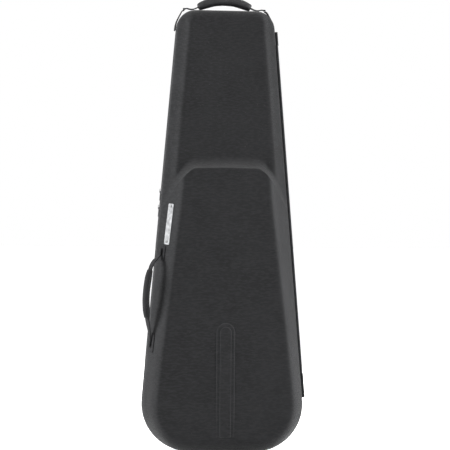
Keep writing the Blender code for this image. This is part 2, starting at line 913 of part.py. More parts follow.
def make_slider(which, z):
    coil_out = coil_outer()
    place = left_side_point(z, 0.0)
    frame = side_frame(place, False)
    pivot = add_pivot("slider_%s_pivot" % which, place)
    plate_top = coil_out + FIT + SLIDER_PLATE
    body = prism("slider_" + which, slider_outline(coil_out), SLIDER_LENGTH / 2, ZIP_METAL, pivot)
    body.matrix_world = frame
    body = as_mesh(body)
    rise = plate_top + 0.0010 + 2 * PIN_RADIUS + 0.0006
    legs = BAIL_HALF_LENGTH
    arch = [
        (plate_top - SLIDER_PLATE / 2, -legs),
        (rise, -legs),
        (rise + BAIL_BAR, -legs + BAIL_BAR),
        (rise + BAIL_BAR, legs - BAIL_BAR),
        (rise, legs),
        (plate_top - SLIDER_PLATE / 2, legs),
        (plate_top - SLIDER_PLATE / 2, legs - BAIL_BAR),
        (rise, legs - BAIL_BAR),
        (rise, -legs + BAIL_BAR),
        (plate_top - SLIDER_PLATE / 2, -legs + BAIL_BAR),
    ]
    bail = prism("bail_" + which, arch, BAIL_WIDTH / 2, None)
    bail.matrix_world = frame @ Matrix.Rotation(math.pi / 2, 4, "X")
    bail = as_mesh(bail)
    boolean(body, bail, "UNION", "MANIFOLD")
    pin_out = plate_top + 0.0010 + PIN_RADIUS
    pull_pivot = add_pivot("pull_%s_pivot" % which, frame @ Vector((pin_out, 0.0, 0.0)))
    make_pull(which, frame @ Matrix.Translation((pin_out, 0.0, 0.0)), pull_pivot)


def make_pull(which, frame, pivot):
    """A flat tab with a yoke round the bail and a cross pin under the bail's bar."""
    arm = BAIL_WIDTH / 2 + 0.0004
    wide = PULL_HALF_WIDTH
    start = BAIL_HALF_LENGTH + 0.0013
    outline = [
        (-arm, PIN_RADIUS),
        (-arm, -start),
        (arm, -start),
        (arm, PIN_RADIUS),
        (arm + 0.0012, PIN_RADIUS),
        (wide, -start),
        (wide, -PULL_LENGTH + 0.002),
        (wide - 0.002, -PULL_LENGTH),
        (-wide + 0.002, -PULL_LENGTH),
        (-wide, -PULL_LENGTH + 0.002),
        (-wide, -start),
        (-arm - 0.0012, PIN_RADIUS),
    ]
    tab = prism("pull_" + which, outline, PULL_THICK / 2, ZIP_METAL, pivot)
    across = Matrix(((0, 0, 1), (1, 0, 0), (0, 1, 0))).to_4x4()
    tab.matrix_world = frame @ across
    tab = as_mesh(tab)
    pin = tube("pin_" + which, [(-arm - 0.0003, 0, 0), (arm + 0.0003, 0, 0)], PIN_RADIUS, None)
    pin.matrix_world = frame @ Matrix.Rotation(math.pi / 2, 4, "Z")
    pin = as_mesh(pin)
    boolean(tab, pin, "UNION")


# Metal plate on the left wall


def make_plate():
    low, _ = wall_point(PLATE_LOW_Z, 2, 0.5)
    high, _ = wall_point(PLATE_HIGH_Z, 2, 0.5)
    middle = (low + high) / 2
    _, out = wall_point(middle.z, 2, 0.5)
    along = (high - low).normalized()
    across = along.cross(out).normalized()
    out = across.cross(along)
    frame = Matrix((across, along, out)).transposed().to_4x4()
    frame.translation = middle + out * (2 * FIT + PLATE_THICK / 2)
    half_long = (high - low).length / 2
    half_wide = PLATE_WIDTH / 2
    cut = 0.0015
    outline = [
        (-half_wide + cut, -half_long),
        (half_wide - cut, -half_long),
        (half_wide, -half_long + cut),
        (half_wide, half_long - cut),
        (half_wide - cut, half_long),
        (-half_wide + cut, half_long),
        (-half_wide, half_long - cut),
        (-half_wide, -half_long + cut),
    ]
    plate = prism("label_plate", outline, PLATE_THICK / 2, ALUMINIUM, LID)
    plate.matrix_world = frame
    plate = as_mesh(plate)
    for side, name in ((-1, "label_rivet_lower"), (1, "label_rivet_upper")):
        spot = frame @ Matrix.Translation((0.0, side * (half_long - RIVET_EDGE), 0.0))
        hole = add_cylinder(name + "_hole", RIVET_SHANK_RADIUS + FIT, 0.004, spot)
        boolean(plate, hole, "DIFFERENCE")
        make_rivet(name, spot)


def add_cylinder(name, radius, depth, frame):
    work = bmesh.new()
    bmesh.ops.create_cone(
        work, cap_ends=True, segments=16, radius1=radius, radius2=radius, depth=depth
    )
    mesh = bpy.data.meshes.new(name)
    work.to_mesh(mesh)
    work.free()
    made = add_object(name, mesh, None)
    made.matrix_world = frame
    return made


def make_rivet(name, spot):
    """A rivet with a domed head over the plate and a shank that ends at the shell."""
    seat = PLATE_THICK / 2 + FIT
    profile = [(0.0, seat + RIVET_HEAD_HEIGHT)]
    for step in range(1, 5):
        angle = math.pi / 2 * (1 - step / 4)
        profile.append(
            (RIVET_HEAD_RADIUS * math.cos(angle), seat + RIVET_HEAD_HEIGHT * math.sin(angle))
        )
    profile += [(RIVET_SHANK_RADIUS, seat), (RIVET_SHANK_RADIUS, -seat), (0.0, -seat)]
    mesh = bpy.data.meshes.new(name)
    edges = [(i, i + 1) for i in range(len(profile) - 1)]
    mesh.from_pydata([(radius, 0.0, z) for radius, z in profile], edges, [])
    rivet = add_object(name, mesh, RIVET)
    turn = rivet.modifiers.new("turn", "SCREW")
    turn.steps = 16
    turn.render_steps = 16
    turn.use_merge_vertices = True
    turn.merge_threshold = 0.00001
    turn.use_smooth_shade = True
    rivet.parent = LID
    rivet.matrix_world = spot


# Side handle


def side_axis():
    """The side handle's axis: its two ends, the outward direction and the cross direction."""
    rise = SIDE_TAB_THICK + SIDE_PIVOT_RADIUS + 3 * FIT
    high, out_high = wall_point(SIDE_PIVOT_HIGH_Z, 1, 0.90)
    low, out_low = wall_point(SIDE_PIVOT_LOW_Z, 1, 0.75)
    high = high + out_high * rise
    low = low + out_low * rise
    along = (high - low).normalized()
    out = (out_high + out_low).normalized()
    across = along.cross(out).normalized()
    return high, low, across.cross(along), across


def make_side_handle():
    high, low, out, across = side_axis()
    pivot = add_pivot("side_handle_pivot", low)
    pivot.parent = LID
    pivot.matrix_parent_inverse = LID.matrix_world.inverted()
    bpy.context.view_layer.update()
    stand = (
        (0.474, 0.0), (0.468, 0.0065), (0.458, 0.0180), (0.446, 0.0252), (0.430, 0.0290), (0.411, 0.0312),
        (0.389, 0.0318), (0.3645, 0.0300), (0.342, 0.0255), (0.322, 0.0195), (0.302, 0.0115),
        (0.284, 0.0045), (0.268, 0.0),
    )
    path = []
    for z, height in stand:
        share = (z - SIDE_PIVOT_LOW_Z) / (SIDE_PIVOT_HIGH_Z - SIDE_PIVOT_LOW_Z)
        path.append(low.lerp(high, share) + out * height)
    path = curve_through(path, 3)
    widths = []
    for place in path:
        height = (place - low).dot(out)
        widths.append(mix(SIDE_WEB_NARROW, SIDE_WEB_WIDTH, smooth(height / 0.016)))
    mesh = strap_mesh("side_webbing", path, widths, SIDE_WEB_THICK, across)
    webbing = add_object("side_webbing", mesh, WEBBING, pivot)
    for index, (end, way) in enumerate(((high, 1), (low, -1))):
        along = (high - low).normalized() * way
        ends = [end - along * 0.002, end + along * 0.016]
        roll = tube("side_roll_%d" % (index + 1), ends, SIDE_PIVOT_RADIUS, None, sides=2)
        boolean(webbing, as_mesh(roll), "UNION")
    grip_path = [p for p in path if SIDE_GRIP_LOW_Z <= p.z <= SIDE_GRIP_HIGH_Z]
    count = len(grip_path)
    radii = [0.80 + 0.20 * smooth(min(i, count - 1 - i) / 3) for i in range(count)]
    grip = tube("side_grip", grip_path, SIDE_GRIP_RADIUS, LEATHER, pivot, sides=4, radii=radii)
    grip = as_mesh(grip)
    cut = strap_mesh("side_grip_slot", path, [w + 2 * FIT for w in widths], SIDE_WEB_THICK + 2 * FIT, across)
    boolean(grip, add_object("side_grip_slot", cut, None), "DIFFERENCE")
    shade_round(grip, 40)
    tabs = (
        ("side_handle_anchor_upper", SIDE_PIVOT_HIGH_Z, SIDE_TAB_HIGH_LENGTH, 0.90, 0.004),
        ("side_handle_anchor_lower", SIDE_PIVOT_LOW_Z, SIDE_TAB_LOW_LENGTH, 0.75, -0.006),
    )
    for name, z, length, share, shift in tabs:
        make_side_tab(name, z + shift, length, share)


def make_side_tab(name, z, length, share):
    """A stitched webbing tab that lies flat on the wall under the handle's end."""
    place, out = wall_point(z, 1, share)
    ahead, _ = wall_point(z + 0.01, 1, share)
    along = (ahead - place).normalized()
    across = along.cross(out).normalized()
    out = across.cross(along)
    frame = Matrix((across, along, out)).transposed().to_4x4()
    frame.translation = place + out * (2 * FIT + SIDE_TAB_THICK / 2)
    wide, long = SIDE_TAB_WIDTH / 2, length / 2
    outline = [(-wide, -long), (wide, -long), (wide, long), (-wide, long)]
    tab = prism(name, outline, SIDE_TAB_THICK / 2, WEBBING, LID)
    tab.matrix_world = frame


# Top handle


def make_top_handle():
    pivot = add_pivot("top_handle_pivot", (0.0, TOP_HANDLE_Y, TOP_PIVOT_Z))
    half_path = (
        (TOP_PIVOT_X, TOP_PIVOT_Z), (0.0920, TOP_PIVOT_Z + 0.0010), (0.0840, TOP_PIVOT_Z - 0.0008),
        (0.0750, TOP_PIVOT_Z - 0.0002), (0.0645, TOP_PIVOT_Z + 0.0046), (0.0480, TOP_PIVOT_Z + 0.0118),
        (0.0250, TOP_PIVOT_Z + 0.0190), (0.0, TOP_GRIP_Z),
    )
    places = [Vector((-x, TOP_HANDLE_Y, z)) for x, z in half_path]
    places += [Vector((x, TOP_HANDLE_Y, z)) for x, z in half_path[-2::-1]]
    path = curve_through(places, 3)
    across = Vector((0.0, 1.0, 0.0))
    widths = []
    for place in path:
        widths.append(TOP_WEB_NARROW * (0.55 + 0.45 * smooth((TOP_PIVOT_X - abs(place.x)) / 0.012)))
    mesh = strap_mesh("top_webbing", path, widths, TOP_WEB_THICK, across)
    webbing = add_object("top_webbing", mesh, WEBBING, pivot)
    for side in (-1, 1):
        ends = [(side * (TOP_PIVOT_X - 0.002), TOP_HANDLE_Y, TOP_PIVOT_Z)]
        ends.append((side * (TOP_PIVOT_X + 0.004), TOP_HANDLE_Y, TOP_PIVOT_Z))
        roll = tube("top_roll_%d" % (side + 2), ends, TOP_ROLL_RADIUS, None, sides=2)
        boolean(webbing, as_mesh(roll), "UNION")
    grip_path = [p for p in path if abs(p.x) < TOP_GRIP_HALF_LENGTH + 0.0001]
    ratio = TOP_GRIP_END_RADIUS / TOP_GRIP_RADIUS
    radii = []
    for place in grip_path:
        share = (TOP_GRIP_HALF_LENGTH - abs(place.x)) / TOP_GRIP_HALF_LENGTH
        radii.append(mix(ratio, 1.0, math.sqrt(max(0.0, 1 - (1 - share) ** 2))))
    grip = tube("top_grip", grip_path, TOP_GRIP_RADIUS, LEATHER, pivot, sides=4, radii=radii)
    grip = as_mesh(grip)
    slot = strap_mesh("top_grip_slot", path, [w + 2 * FIT for w in widths], TOP_WEB_THICK + 2 * FIT, across)
    boolean(grip, add_object("top_grip_slot", slot, None), "DIFFERENCE")
    shade_round(grip, 40)
    for name, side in (("top_handle_anchor_left", -1), ("top_handle_anchor_right", 1)):
        make_shoulder_strap(name, side)


def make_shoulder_strap(name, side):
    """A webbing strap stitched to the shoulder, rising to a fold where the handle starts."""
    lift = FIT + TOP_WEB_THICK / 2
    start = left_side_point(SIDE_HIGH_Z - 0.006, lift)
    places = [(start.x, start.z)]
    for degrees, rise in ((12, 0.0), (26, 0.0004), (38, 0.0016), (48, 0.0040), (57, 0.0078)):
        radius = TOP_CORNER + lift + rise
        angle = math.radians(degrees)
        x = HIGH_CENTRE[0] + radius * math.cos(angle)
        places.append((-x, HIGH_CENTRE[1] + radius * math.sin(angle)))
    under_roll = TOP_PIVOT_Z - TOP_ROLL_RADIUS - FIT - TOP_WEB_THICK / 2
    places.append((-TOP_PIVOT_X - 0.0012, under_roll))
    path = [Vector((-side * x, TOP_HANDLE_Y, z)) for x, z in places]
    path = curve_through(path, 2)
    count = len(path)
    widths = [TOP_WEB_WIDTH * (1.0 - 0.42 * smooth((i / (count - 1) - 0.45) / 0.5)) for i in range(count)]
    mesh = strap_mesh(name, path, widths, TOP_WEB_THICK, (0.0, 1.0, 0.0))
    add_object(name, mesh, WEBBING)


# Foam supports in the tray


def tray_floor():
    return REAR_DEPTH - SHELL_WALL - 2 * FIT - LINING_WALL - FIT


def tray_pad(name, outline, front):
    """A foam block with an outline seen from the front, from a front plane to the tray's floor."""
    back = tray_floor()
    pad = prism(name, outline, (back - front) / 2, FOAM)
    pad.rotation_euler = (math.pi / 2, 0.0, 0.0)
    pad.location = (0.0, (back + front) / 2, 0.0)
    return pad


def make_pads():
    steps = 8
    outline = []
    radius = BOTTOM_CORNER - PAD_INSET
    reach = math.asin(min(1.0, (BUTT_PAD_HALF_WIDTH - LOW_CENTRE[0]) / radius))
    for side in (-1, 1):
        arc = []
        for step in range(steps // 2 + 1):
            angle = -math.pi / 2 + reach * step / (steps // 2)
            x = LOW_CENTRE[0] + radius * math.cos(angle)
            arc.append((side * x, LOW_CENTRE[1] + radius * math.sin(angle)))
        outline += arc[::-1] if side < 0 else arc
    corner_z = outline[-1][1]
    sag = PAD_INSET + BUTT_PAD_DEPTH * 0.4
    for step in range(steps + 1):
        x = BUTT_PAD_HALF_WIDTH * 0.96 * (1 - 2 * step / steps)
        share = (x / BUTT_PAD_HALF_WIDTH) ** 2
        outline.append((x, mix(sag + PAD_INSET * 0.2, corner_z + BUTT_PAD_DEPTH, share)))
    tray_pad("butt_pad", outline, PAD_FRONT_Y)
    for name, side in (("bout_pad_left", -1), ("bout_pad_right", 1)):
        low, high = BOUT_PAD_Z - BOUT_PAD_HALF_LENGTH, BOUT_PAD_Z + BOUT_PAD_HALF_LENGTH
        edge = PAD_INSET / math.cos(LEAN)
        outline = [(side * (half_width(low) - edge), low), (side * (half_width(high) - edge), high)]
        for step in range(1, steps):
            share = step / steps
            z = mix(high, low, share)
            bulge = BOUT_PAD_DEPTH * math.sin(math.pi * share)
            outline.append((side * (half_width(z) - edge - 0.004 - bulge), z))
        tray_pad(name, outline, PAD_FRONT_Y)
    wide = HEAD_PAD_HALF_WIDTH
    cut = 0.012
    outline = [
        (-wide, HEAD_PAD_LOW_Z),
        (wide, HEAD_PAD_LOW_Z),
        (wide, HEAD_PAD_HIGH_Z - cut),
        (wide - cut, HEAD_PAD_HIGH_Z),
        (-wide + cut, HEAD_PAD_HIGH_Z),
        (-wide, HEAD_PAD_HIGH_Z - cut),
    ]
    tray_pad("headstock_pad", outline, HEAD_PAD_FRONT_Y)
    make_cradle()


def make_cradle():
    """A foam block across the tray with a round-bottomed channel for the neck."""
    back = tray_floor()
    wide, neck = CRADLE_HALF_WIDTH, NECK_HALF_WIDTH
    round_part = 0.012
    outline = [(-wide, back), (-wide, CRADLE_FRONT_Y), (-neck, CRADLE_FRONT_Y)]
    for side in (-1, 1):
        arc = []
        for step in range(5):
            angle = math.pi / 2 * step / 4
            x = neck - round_part + round_part * math.cos(angle)
            arc.append((side * x, NECK_FLOOR_Y - round_part + round_part * math.sin(angle)))
        outline += arc if side < 0 else arc[::-1]
    outline += [(neck, CRADLE_FRONT_Y), (wide, CRADLE_FRONT_Y), (wide, back)]
    cradle = prism("neck_cradle", outline, CRADLE_LENGTH / 2, FOAM)
    cradle.location = (0.0, 0.0, CRADLE_Z)


make_front_shell()
make_rear_shell()
make_front_lining()
make_rear_lining()
make_rim_strips()
make_hinge()
make_slider("upper", SLIDER_UPPER_Z)
make_slider("lower", SLIDER_LOWER_Z)
make_plate()
make_side_handle()
make_top_handle()
make_pads()
bpy.context.view_layer.update()
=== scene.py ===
"""The guitar case's looks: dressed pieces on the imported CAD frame, with camera, light and floor.

Units are metres, +Z is up and the case's front faces -Y. The shells, piping and zip teeth are
built here from the CAD source's own outline and profiles. The other soft pieces start from a copy
of the CAD solid that they stand for.
"""

import collections
import math

import bmesh
import bpy
from mathutils import Matrix, Vector
from mathutils.bvhtree import BVHTree


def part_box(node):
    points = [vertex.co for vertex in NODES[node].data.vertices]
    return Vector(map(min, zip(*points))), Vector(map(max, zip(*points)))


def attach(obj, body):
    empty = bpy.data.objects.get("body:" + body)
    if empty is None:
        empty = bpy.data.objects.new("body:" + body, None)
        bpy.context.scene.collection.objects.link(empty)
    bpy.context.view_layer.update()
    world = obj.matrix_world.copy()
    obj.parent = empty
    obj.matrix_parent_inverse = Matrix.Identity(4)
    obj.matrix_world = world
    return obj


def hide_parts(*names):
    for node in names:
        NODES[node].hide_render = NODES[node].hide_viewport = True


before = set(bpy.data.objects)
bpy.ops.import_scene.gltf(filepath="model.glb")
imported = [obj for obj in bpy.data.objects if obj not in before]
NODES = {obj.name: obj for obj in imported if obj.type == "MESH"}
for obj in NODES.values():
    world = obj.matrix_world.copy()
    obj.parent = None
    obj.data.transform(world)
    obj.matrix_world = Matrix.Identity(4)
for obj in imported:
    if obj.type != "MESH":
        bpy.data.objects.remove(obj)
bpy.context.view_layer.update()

# Camera
CAMERA_AZIMUTH = -7.0
CAMERA_DISTANCE = 4.6
CAMERA_HEIGHT = 0.547
CAMERA_ROLL = 0.5
CAMERA_REACH = 120.0
SENSOR = 36.0
FRAME_SPAN = 1.0935
AIM_X = 0.003

# Light
SIDE_LAMP_POWER = 105.0
SIDE_LAMP_PLACE = (2.1, -0.42, 1.15)
BACK_LAMP_POWER = 63.0
BACK_LAMP_PLACE = (0.4, 2.6, 1.3)
LAMP_SIZE = (0.8, 1.6)
LAMP_AIM = (0.0, 0.0, 0.55)
AMBIENT = 0.15
WHITE = (1.0, 1.0, 1.0, 1.0)

# Floor
FLOOR_SIZE = 80.0
FLOOR_COLOUR = (0.75, 0.75, 0.75, 1.0)
FLOOR_ROUGHNESS = 0.9
FLOOR_GLOW = 0.93


def make_camera():
    data = bpy.data.cameras.new("camera")
    data.sensor_width = SENSOR
    data.lens = SENSOR * CAMERA_DISTANCE / FRAME_SPAN
    data.clip_end = CAMERA_REACH
    camera = bpy.data.objects.new("camera", data)
    bpy.context.scene.collection.objects.link(camera)
    turn = math.radians(CAMERA_AZIMUTH)
    aim = Vector((AIM_X, 0.0, CAMERA_HEIGHT))
    away = Vector((math.sin(turn), -math.cos(turn), 0.0))
    camera.location = aim + away * CAMERA_DISTANCE
    look = (-away).to_track_quat("-Z", "Y").to_matrix().to_4x4()
    roll = Matrix.Rotation(math.radians(CAMERA_ROLL), 4, "Z")
    camera.matrix_world = Matrix.Translation(camera.location) @ look @ roll
    bpy.context.scene.camera = camera


def make_lamp(name, place, power):
    data = bpy.data.lights.new(name, "AREA")
    data.shape = "RECTANGLE"
    data.size, data.size_y = LAMP_SIZE
    data.energy = power
    lamp = bpy.data.objects.new(name, data)
    bpy.context.scene.collection.objects.link(lamp)
    place = Vector(place)
    turn = (Vector(LAMP_AIM) - place).to_track_quat("-Z", "Y").to_matrix().to_4x4()
    lamp.matrix_world = Matrix.Translation(place) @ turn


def seen_rays(tree):
    """1 for rays that see the background: from the camera, a reflection or a transmission."""
    path = tree.nodes.new("ShaderNodeLightPath")
    total = tree.nodes.new("ShaderNodeMath")
    total.operation = "MAXIMUM"
    tree.links.new(path.outputs["Is Camera Ray"], total.inputs[0])
    more = tree.nodes.new("ShaderNodeMath")
    more.operation = "MAXIMUM"
    tree.links.new(path.outputs["Is Glossy Ray"], more.inputs[0])
    tree.links.new(path.outputs["Is Transmission Ray"], more.inputs[1])
    tree.links.new(more.outputs[0], total.inputs[1])
    return total.outputs[0]


def show_when_seen(tree, plain, seen, output):
    """Sends `seen` to the rays that see the background, and `plain` to the others."""
    mixer = tree.nodes.new("ShaderNodeMixShader")
    tree.links.new(seen_rays(tree), mixer.inputs["Fac"])
    tree.links.new(plain.outputs[0], mixer.inputs[1])
    tree.links.new(seen.outputs[0], mixer.inputs[2])
    tree.links.new(mixer.outputs[0], tree.nodes[output].inputs["Surface"])


def make_world():
    world = bpy.data.worlds.new("studio")
    bpy.context.scene.world = world
    world.use_nodes = True
    tree = world.node_tree
    plain = tree.nodes["Background"]
    plain.inputs["Color"].default_value = WHITE
    plain.inputs["Strength"].default_value = AMBIENT
    seen = tree.nodes.new("ShaderNodeBackground")
    seen.inputs["Color"].default_value = WHITE
    seen.inputs["Strength"].default_value = 1.0
    show_when_seen(tree, plain, seen, "World Output")


def make_floor():
    """A pale floor that shows as white to the camera and keeps the case's soft shadow."""
    half = FLOOR_SIZE / 2
    mesh = bpy.data.meshes.new("floor")
    corners = [(-half, -half, 0.0), (half, -half, 0.0), (half, half, 0.0), (-half, half, 0.0)]
    mesh.from_pydata(corners, [], [(0, 1, 2, 3)])
    floor = bpy.data.objects.new("floor", mesh)
    bpy.context.scene.collection.objects.link(floor)
    paint = bpy.data.materials.new("floor_paint")
    paint.use_nodes = True
    tree = paint.node_tree
    shader = tree.nodes["Principled BSDF"]
    shader.inputs["Base Color"].default_value = FLOOR_COLOUR
    shader.inputs["Roughness"].default_value = FLOOR_ROUGHNESS
    glow = tree.nodes.new("ShaderNodeEmission")
    glow.inputs["Color"].default_value = WHITE
    glow.inputs["Strength"].default_value = FLOOR_GLOW
    both = tree.nodes.new("ShaderNodeAddShader")
    tree.links.new(shader.outputs[0], both.inputs[0])
    tree.links.new(glow.outputs[0], both.inputs[1])
    show_when_seen(tree, shader, both, "Material Output")
    mesh.materials.append(paint)


make_camera()
make_lamp("lamp_left", (-SIDE_LAMP_PLACE[0], *SIDE_LAMP_PLACE[1:]), SIDE_LAMP_POWER)
make_lamp("lamp_right", SIDE_LAMP_PLACE, SIDE_LAMP_POWER)
make_lamp("lamp_back", BACK_LAMP_PLACE, BACK_LAMP_POWER)
make_world()
make_floor()
bpy.context.scene.view_settings.view_transform = "Standard"

# Materials. Noise scales are per metre, and pitches, reliefs and bumps are in metres

ACROSS = (1.0, 1.0, 0.0)
UPWARD = (0.0, 0.0, 1.0)
EVEN = (1.0, 1.0, 1.0)
LEVEL_STREAKS = (0.30, 0.30, 1.0)
LINT_COLOUR = (0.11, 0.11, 0.115)
THREAD_ROUNDNESS = 0.6
LEATHER_CELLS = 620.0
LEATHER_GRAIN = 0.00016
LEATHER_CREASES = 0.0003
NAP_RELIEF = 0.0006


def scaled(colour, share):
    return tuple(share * part for part in colour)


class Paint:
    """A procedural material under construction."""

    def __init__(self, name, roughness, metallic=0.0, specular=0.5, sheen=0.0, sheen_spread=0.5):
        self.material = bpy.data.materials.new(name)
        self.material.use_nodes = True
        self.tree = self.material.node_tree
        self.shader = self.tree.nodes["Principled BSDF"]
        inputs = self.shader.inputs
        inputs["Roughness"].default_value = roughness
        inputs["Metallic"].default_value = metallic
        inputs["Specular IOR Level"].default_value = specular
        inputs["Sheen Weight"].default_value = sheen
        inputs["Sheen Roughness"].default_value = sheen_spread
        self.place = self.tree.nodes.new("ShaderNodeTexCoord").outputs["Object"]

    def link(self, start, end):
        self.tree.links.new(start, end)

    def math(self, kind, a, b=None):
        node = self.tree.nodes.new("ShaderNodeMath")
        node.operation = kind
        for index, value in enumerate((a, b)):
            if value is None:
                continue
            if isinstance(value, (int, float)):
                node.inputs[index].default_value = value
            else:
                self.link(value, node.inputs[index])
        return node.outputs[0]

    def noise(self, scale, detail=2.0, stretch=EVEN):
        spread = self.tree.nodes.new("ShaderNodeMapping")
        spread.inputs["Scale"].default_value = stretch
        self.link(self.place, spread.inputs["Vector"])
        node = self.tree.nodes.new("ShaderNodeTexNoise")
        node.inputs["Scale"].default_value = scale
        node.inputs["Detail"].default_value = detail
        self.link(spread.outputs[0], node.inputs["Vector"])
        return node.outputs["Fac"]

    def span(self, value, low, high, to_low=0.0, to_high=1.0):
        node = self.tree.nodes.new("ShaderNodeMapRange")
        self.link(value, node.inputs["Value"])
        limits = {"From Min": low, "From Max": high, "To Min": to_low, "To Max": to_high}
        for name, number in limits.items():
            node.inputs[name].default_value = number
        return node.outputs[0]

    def blend(self, share, a, b):
        node = self.tree.nodes.new("ShaderNodeMix")
        node.data_type = "RGBA"
        self.link(share, node.inputs["Factor"])
        for name, colour in (("A", a), ("B", b)):
            target = [s for s in node.inputs if s.name == name and s.type == "RGBA"][0]
            if isinstance(colour, tuple):
                target.default_value = (*colour, 1.0)
            else:
                self.link(colour, target)
        return [s for s in node.outputs if s.type == "RGBA"][0]

    def weave(self, pitch):
        """Height of an over and under weave, and which of the two threads is on top."""
        waves = []
        for direction in (ACROSS, UPWARD):
            dot = self.tree.nodes.new("ShaderNodeVectorMath")
            dot.operation = "DOT_PRODUCT"
            self.link(self.place, dot.inputs[0])
            dot.inputs[1].default_value = scaled(direction, math.pi / pitch)
            waves.append(self.math("SINE", dot.outputs["Value"]))
        both = self.math("MULTIPLY", *waves)
        height = self.math("POWER", self.math("ABSOLUTE", both), THREAD_ROUNDNESS)
        return height, self.math("GREATER_THAN", both, 0.0)

    def edges(self, low, high):
        geometry = self.tree.nodes.new("ShaderNodeNewGeometry")
        return self.span(geometry.outputs["Pointiness"], low, high)

    def colour(self, value):
        self.link(value, self.shader.inputs["Base Color"])

    def gloss(self, scale, low, high):
        """Roughness that wanders between two values."""
        value = self.span(self.noise(scale, 3.0), 0.3, 0.7, low, high)
        self.link(value, self.shader.inputs["Roughness"])

    def bump(self, height, distance, strength=1.0):
        node = self.tree.nodes.new("ShaderNodeBump")
        node.inputs["Distance"].default_value = distance
        node.inputs["Strength"].default_value = strength
        self.link(height, node.inputs["Height"])
        previous = self.shader.inputs["Normal"].links
        if previous:
            self.link(previous[0].from_socket, node.inputs["Normal"])
        self.link(node.outputs[0], self.shader.inputs["Normal"])


def cloth(name, dark, light, pitch, relief, roughness, sheen, pale_span=None):
    """Woven cloth: threads, slow patches of darker tone and specks of lint.

    With a span of Pointiness as its last argument, it also has level streaks and paler edges,
    partly rubbed wear and partly a painted highlight along the ridges.
    """
    paint = Paint(name, roughness, sheen=sheen, specular=0.06)
    height, top = paint.weave(pitch)
    base = paint.blend(paint.span(top, 0.0, 1.0, 0.25, 0.75), dark, light)
    patches = paint.span(paint.noise(14.0, 3.0), 0.35, 0.65, 0.0, 0.45)
    base = paint.blend(patches, base, scaled(dark, 0.72))
    lint = paint.span(paint.noise(420.0, 1.0), 0.74, 0.80, 0.0, 0.5)
    base = paint.blend(lint, base, LINT_COLOUR)
    if pale_span is not None:
        streaks = paint.span(paint.noise(300.0, 2.0, LEVEL_STREAKS), 0.42, 0.64, 0.0, 0.5)
        base = paint.blend(streaks, base, scaled(light, 1.35))
        # Paler edges where Pointiness is high: partly rubbed wear, partly a painted highlight
        # along the ridges
        share = paint.math("MULTIPLY", paint.edges(*pale_span), paint.noise(60.0, 2.0))
        base = paint.blend(share, base, scaled(light, 2.6))
    paint.colour(base)
    paint.bump(height, relief)
    paint.bump(paint.noise(900.0, 2.0), relief * 0.4)
    return paint.material


def metal(name, colour, roughness, stretch, scratches, dirt, metallic=0.95):
    """Metal with brushed lines, uneven gloss and grime."""
    paint = Paint(name, roughness, metallic=metallic)
    lines = paint.noise(700.0, 3.0, stretch)
    base = paint.blend(paint.span(lines, 0.3, 0.7, 0.0, 0.35), colour, scaled(colour, 0.6))
    grime = paint.span(paint.noise(90.0, 4.0), 0.50, 0.72, 0.0, dirt)
    base = paint.blend(grime, base, scaled(colour, 0.25))
    paint.colour(base)
    paint.gloss(160.0, roughness * 0.75, roughness * 1.4)
    paint.bump(lines, scratches)
    return paint.material


def leather(name, dark, light):
    """Grained leather or plastic: fine cells with dark creases, and paler rubbed patches."""
    paint = Paint(name, 0.42, specular=0.30)
    cells = paint.tree.nodes.new("ShaderNodeTexVoronoi")
    cells.feature = "DISTANCE_TO_EDGE"
    cells.inputs["Scale"].default_value = LEATHER_CELLS
    paint.link(paint.place, cells.inputs["Vector"])
    grain = paint.span(cells.outputs["Distance"], 0.0, 0.22)
    base = paint.blend(grain, dark, light)
    pale_span = paint.span(paint.noise(45.0, 3.0), 0.48, 0.70, 0.0, 0.5)
    base = paint.blend(pale_span, base, scaled(light, 1.7))
    paint.colour(base)
    paint.gloss(70.0, 0.34, 0.56)
    paint.bump(grain, LEATHER_GRAIN)
    paint.bump(paint.noise(120.0, 2.0), LEATHER_CREASES, 0.5)
    return paint.material


def plush(name, dark, light, scale):
    """A short pile with brushed patches."""
    paint = Paint(name, 0.95, sheen=0.5, sheen_spread=0.4, specular=0.05)
    nap = paint.noise(scale, 3.0)
    base = paint.blend(paint.span(nap, 0.35, 0.65), dark, light)
    brushed = paint.span(paint.noise(9.0, 2.0), 0.42, 0.6, 0.0, 0.5)
    base = paint.blend(brushed, base, scaled(dark, 0.6))
    paint.colour(base)
    paint.bump(nap, NAP_RELIEF, 0.7)
    return paint.material


FABRIC = cloth(
    "shell_fabric",
    dark=(0.011, 0.0113, 0.012),
    light=(0.019, 0.0193, 0.0205),
    pitch=0.0011,
    relief=0.00022,
    roughness=0.72,
    sheen=0.16,
    # Pointiness span of the paler edges, which are rubbed wear and a painted ridge highlight
    pale_span=(0.505, 0.56),
)
BAND = cloth(
    "hinge_fabric",
    dark=(0.026, 0.027, 0.029),
    light=(0.040, 0.041, 0.044),
    pitch=0.0018,
    relief=0.00025,
    roughness=0.80,
    sheen=0.12,
)
TAPE = cloth(
    "zip_tape",
    dark=(0.008, 0.008, 0.009),
    light=(0.013, 0.013, 0.014),
    pitch=0.0009,
    relief=0.00010,
    roughness=0.85,
    sheen=0.05,
)
WEBBING = cloth(
    "webbing",
    dark=(0.013, 0.013, 0.014),
    light=(0.026, 0.026, 0.028),
    pitch=0.0016,
    relief=0.00030,
    roughness=0.70,
    sheen=0.10,
)
PIPING = cloth(
    "piping",
    dark=(0.018, 0.018, 0.019),
    light=(0.026, 0.026, 0.028),
    pitch=0.0008,
    relief=0.00008,
    roughness=0.55,
    sheen=0.05,
)
THREAD = cloth(
    "thread",
    dark=(0.030, 0.030, 0.032),
    light=(0.060, 0.060, 0.062),
    pitch=0.0004,
    relief=0.00005,
    roughness=0.6,
    sheen=0.1,
)
COIL = leather("zip_coil", (0.010, 0.010, 0.011), (0.016, 0.016, 0.017))
